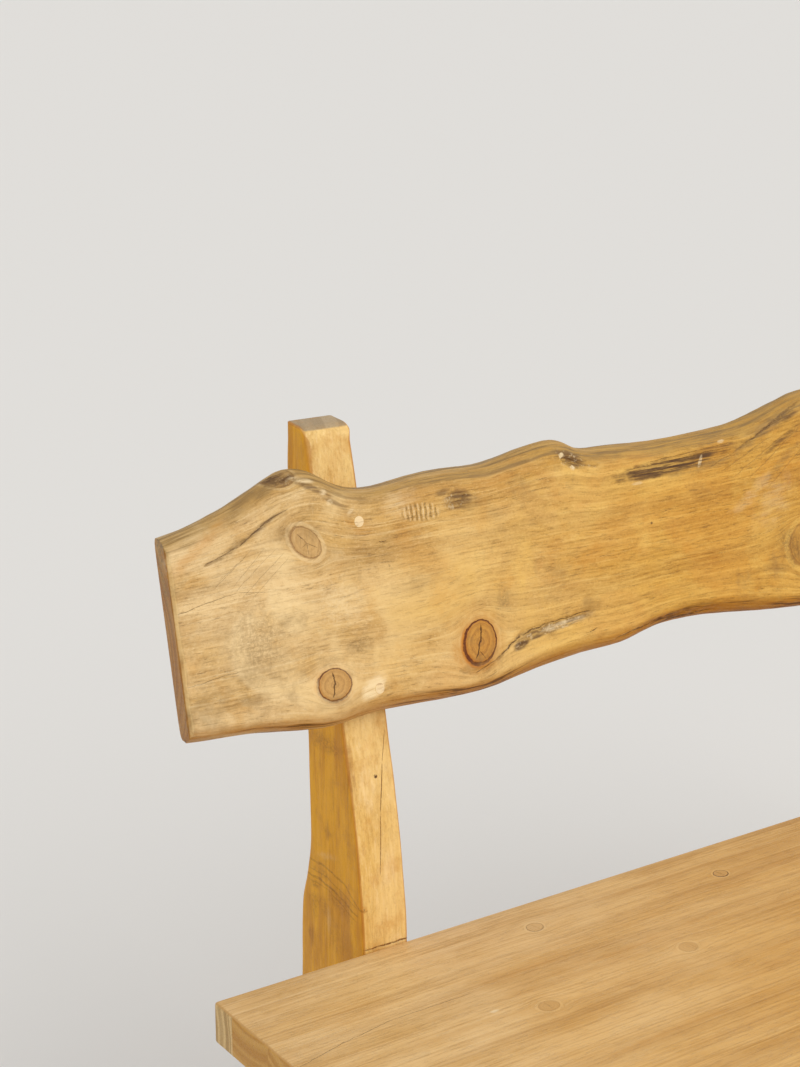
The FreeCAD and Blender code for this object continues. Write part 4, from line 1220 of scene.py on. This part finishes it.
def spreadShape(tree, node, places, plan, turn, seed, material):
    name = pieceName(node)
    shape = addShape(name + "Shape", plan)
    spots = bpy.data.meshes.new(name)
    spots.from_pydata([tuple(place) for place in places], [], [])
    piece = addObject(name, spots)
    modifier = piece.modifiers.new("spread", "NODES")
    modifier.node_group = tree
    values = {"Shape": shape, "Turn": turn, "Seed": seed, "Material": material}
    for item in tree.interface.items_tree:
        if item.name in values:
            modifier[item.identifier] = values[item.name]
    bpy.context.view_layer.update()
    made = bpy.data.meshes.new_from_object(piece.evaluated_get(bpy.context.evaluated_depsgraph_get()))
    piece.modifiers.clear()
    piece.data = made
    made.name = name
    shadeSmooth(made, 38)
    bpy.data.objects.remove(shape)
    handOver(piece, node)


def zincSteel():
    material, tree, shader = newMaterial("zincSteel", Metallic=1.0)
    clouds = noise(readFrom(tree, "TexCoord", "Object"), 400.0, 3.0, 0.6)
    feed(shader["Base Color"], mixTone(clouds, tone(176, 178, 180), tone(206, 206, 204)))
    feed(shader["Roughness"], remap(clouds, 0.3, 0.7, 0.28, 0.42))
    addBump(shader, clouds, 0.15, 0.2 * mm)
    return material


def dressFastenings():
    tree, steel = spreadTree(), zincSteel()
    onBench = ((0, 0, 0), alongX, alongY, alongZ)
    out = boardPlace["out"]
    onBoard = (tuple(boardPlace["origin"]), alongX, boardPlace["up"], out)
    for number, side in enumerate(("left", "right")):
        pegs, plugs, screws = (f"{side}_{kind}" for kind in ("frame_pegs", "board_plugs", "seat_screws"))
        lows, highs = solidsOf(pegs)
        size = highs[0] - lows[0]
        half = size[0] / 2 + fastening["pegProud"] * mm
        plan = prism(bmesh.new(), fastening["pegSides"], size[2] / 2, -half, half, alongX,
                     fastening["pegEasing"])
        spreadShape(tree, pegs, (lows + highs) / 2, plan, (0.4, 0.0, 0.0), 5 + number,
                    paintWood("oiledPegs" + side, {**pegLook, "seed": 31.0 + number}, onBench))
        lows, highs = solidsOf(plugs)
        size = highs[0] - lows[0]
        length = (size[1] - size[0] * abs(out.z)) / abs(out.y)
        plan = prism(bmesh.new(), fastening["plugSides"], size[0] / 2, -length / 2,
                     length / 2 + fastening["plugProud"] * mm, out, fastening["plugEasing"])
        spreadShape(tree, plugs, (lows + highs) / 2, plan, (0.0, 0.0, 0.0), 9,
                    paintWood("oiledPlugs" + side, {**plugLook, "seed": 41.0 + number}, onBoard))
        lows, highs = solidsOf(screws)
        size = highs[0] - lows[0]
        levels = sorted({round(v.co.z, 5) for v in nodes[screws].data.vertices})
        headHigh = levels[1] - levels[0]
        plan = prism(bmesh.new(), fastening["headSides"], size[0] / 2, 0, headHigh, alongZ,
                     fastening["headEasing"])
        prism(plan, fastening["shankSides"], fastening["shankRadius"] * mm, headHigh * 0.9, size[2], alongZ)
        places = np.column_stack([(lows + highs)[:, :2] / 2, lows[:, 2]])
        spreadShape(tree, screws, places, plan, (0.0, 0.0, 0.5), 13 + number, steel)
        dressNode(side + "_board_screws", steel)
    print("pegs, plugs and screws set")


# Bearers, side rails, stretcher and wedges keep their CAD shapes

railLook = makeLook(pale=(232, 196, 132), golden=(218, 172, 98), contrast=0.6, strokes=0.16, calm=0.6)
railGrain = {"seat_bearer": (alongY, alongZ, alongX), "side_rail": (alongY, alongZ, alongX),
             "stretcher": (alongX, alongZ, alongY), "tusk_wedge": (alongZ, alongX, alongY)}


def dressRails():
    rails = [(name, axes) for kind, axes in railGrain.items() for name in sorted(nodes) if kind in name]
    for number, (name, axes) in enumerate(rails):
        look = {**railLook, "heart": (40.0 + 17 * number, 55.0), "seed": 20.0 + 1.3 * number}
        dressNode(name, paintWood(pieceName(name, "oiled"), look, ((0, 0, 0), *axes)))
    print("rails and wedges finished")


setCamera()
setLight()
makeFloor()
boardPlace = readBoard()
makeBoard(boardPlace)

dressSeat()
dressUprights()
dressRails()
dressFastenings()

bpy.context.scene.view_settings.view_transform = "Standard"
bpy.context.view_layer.update()
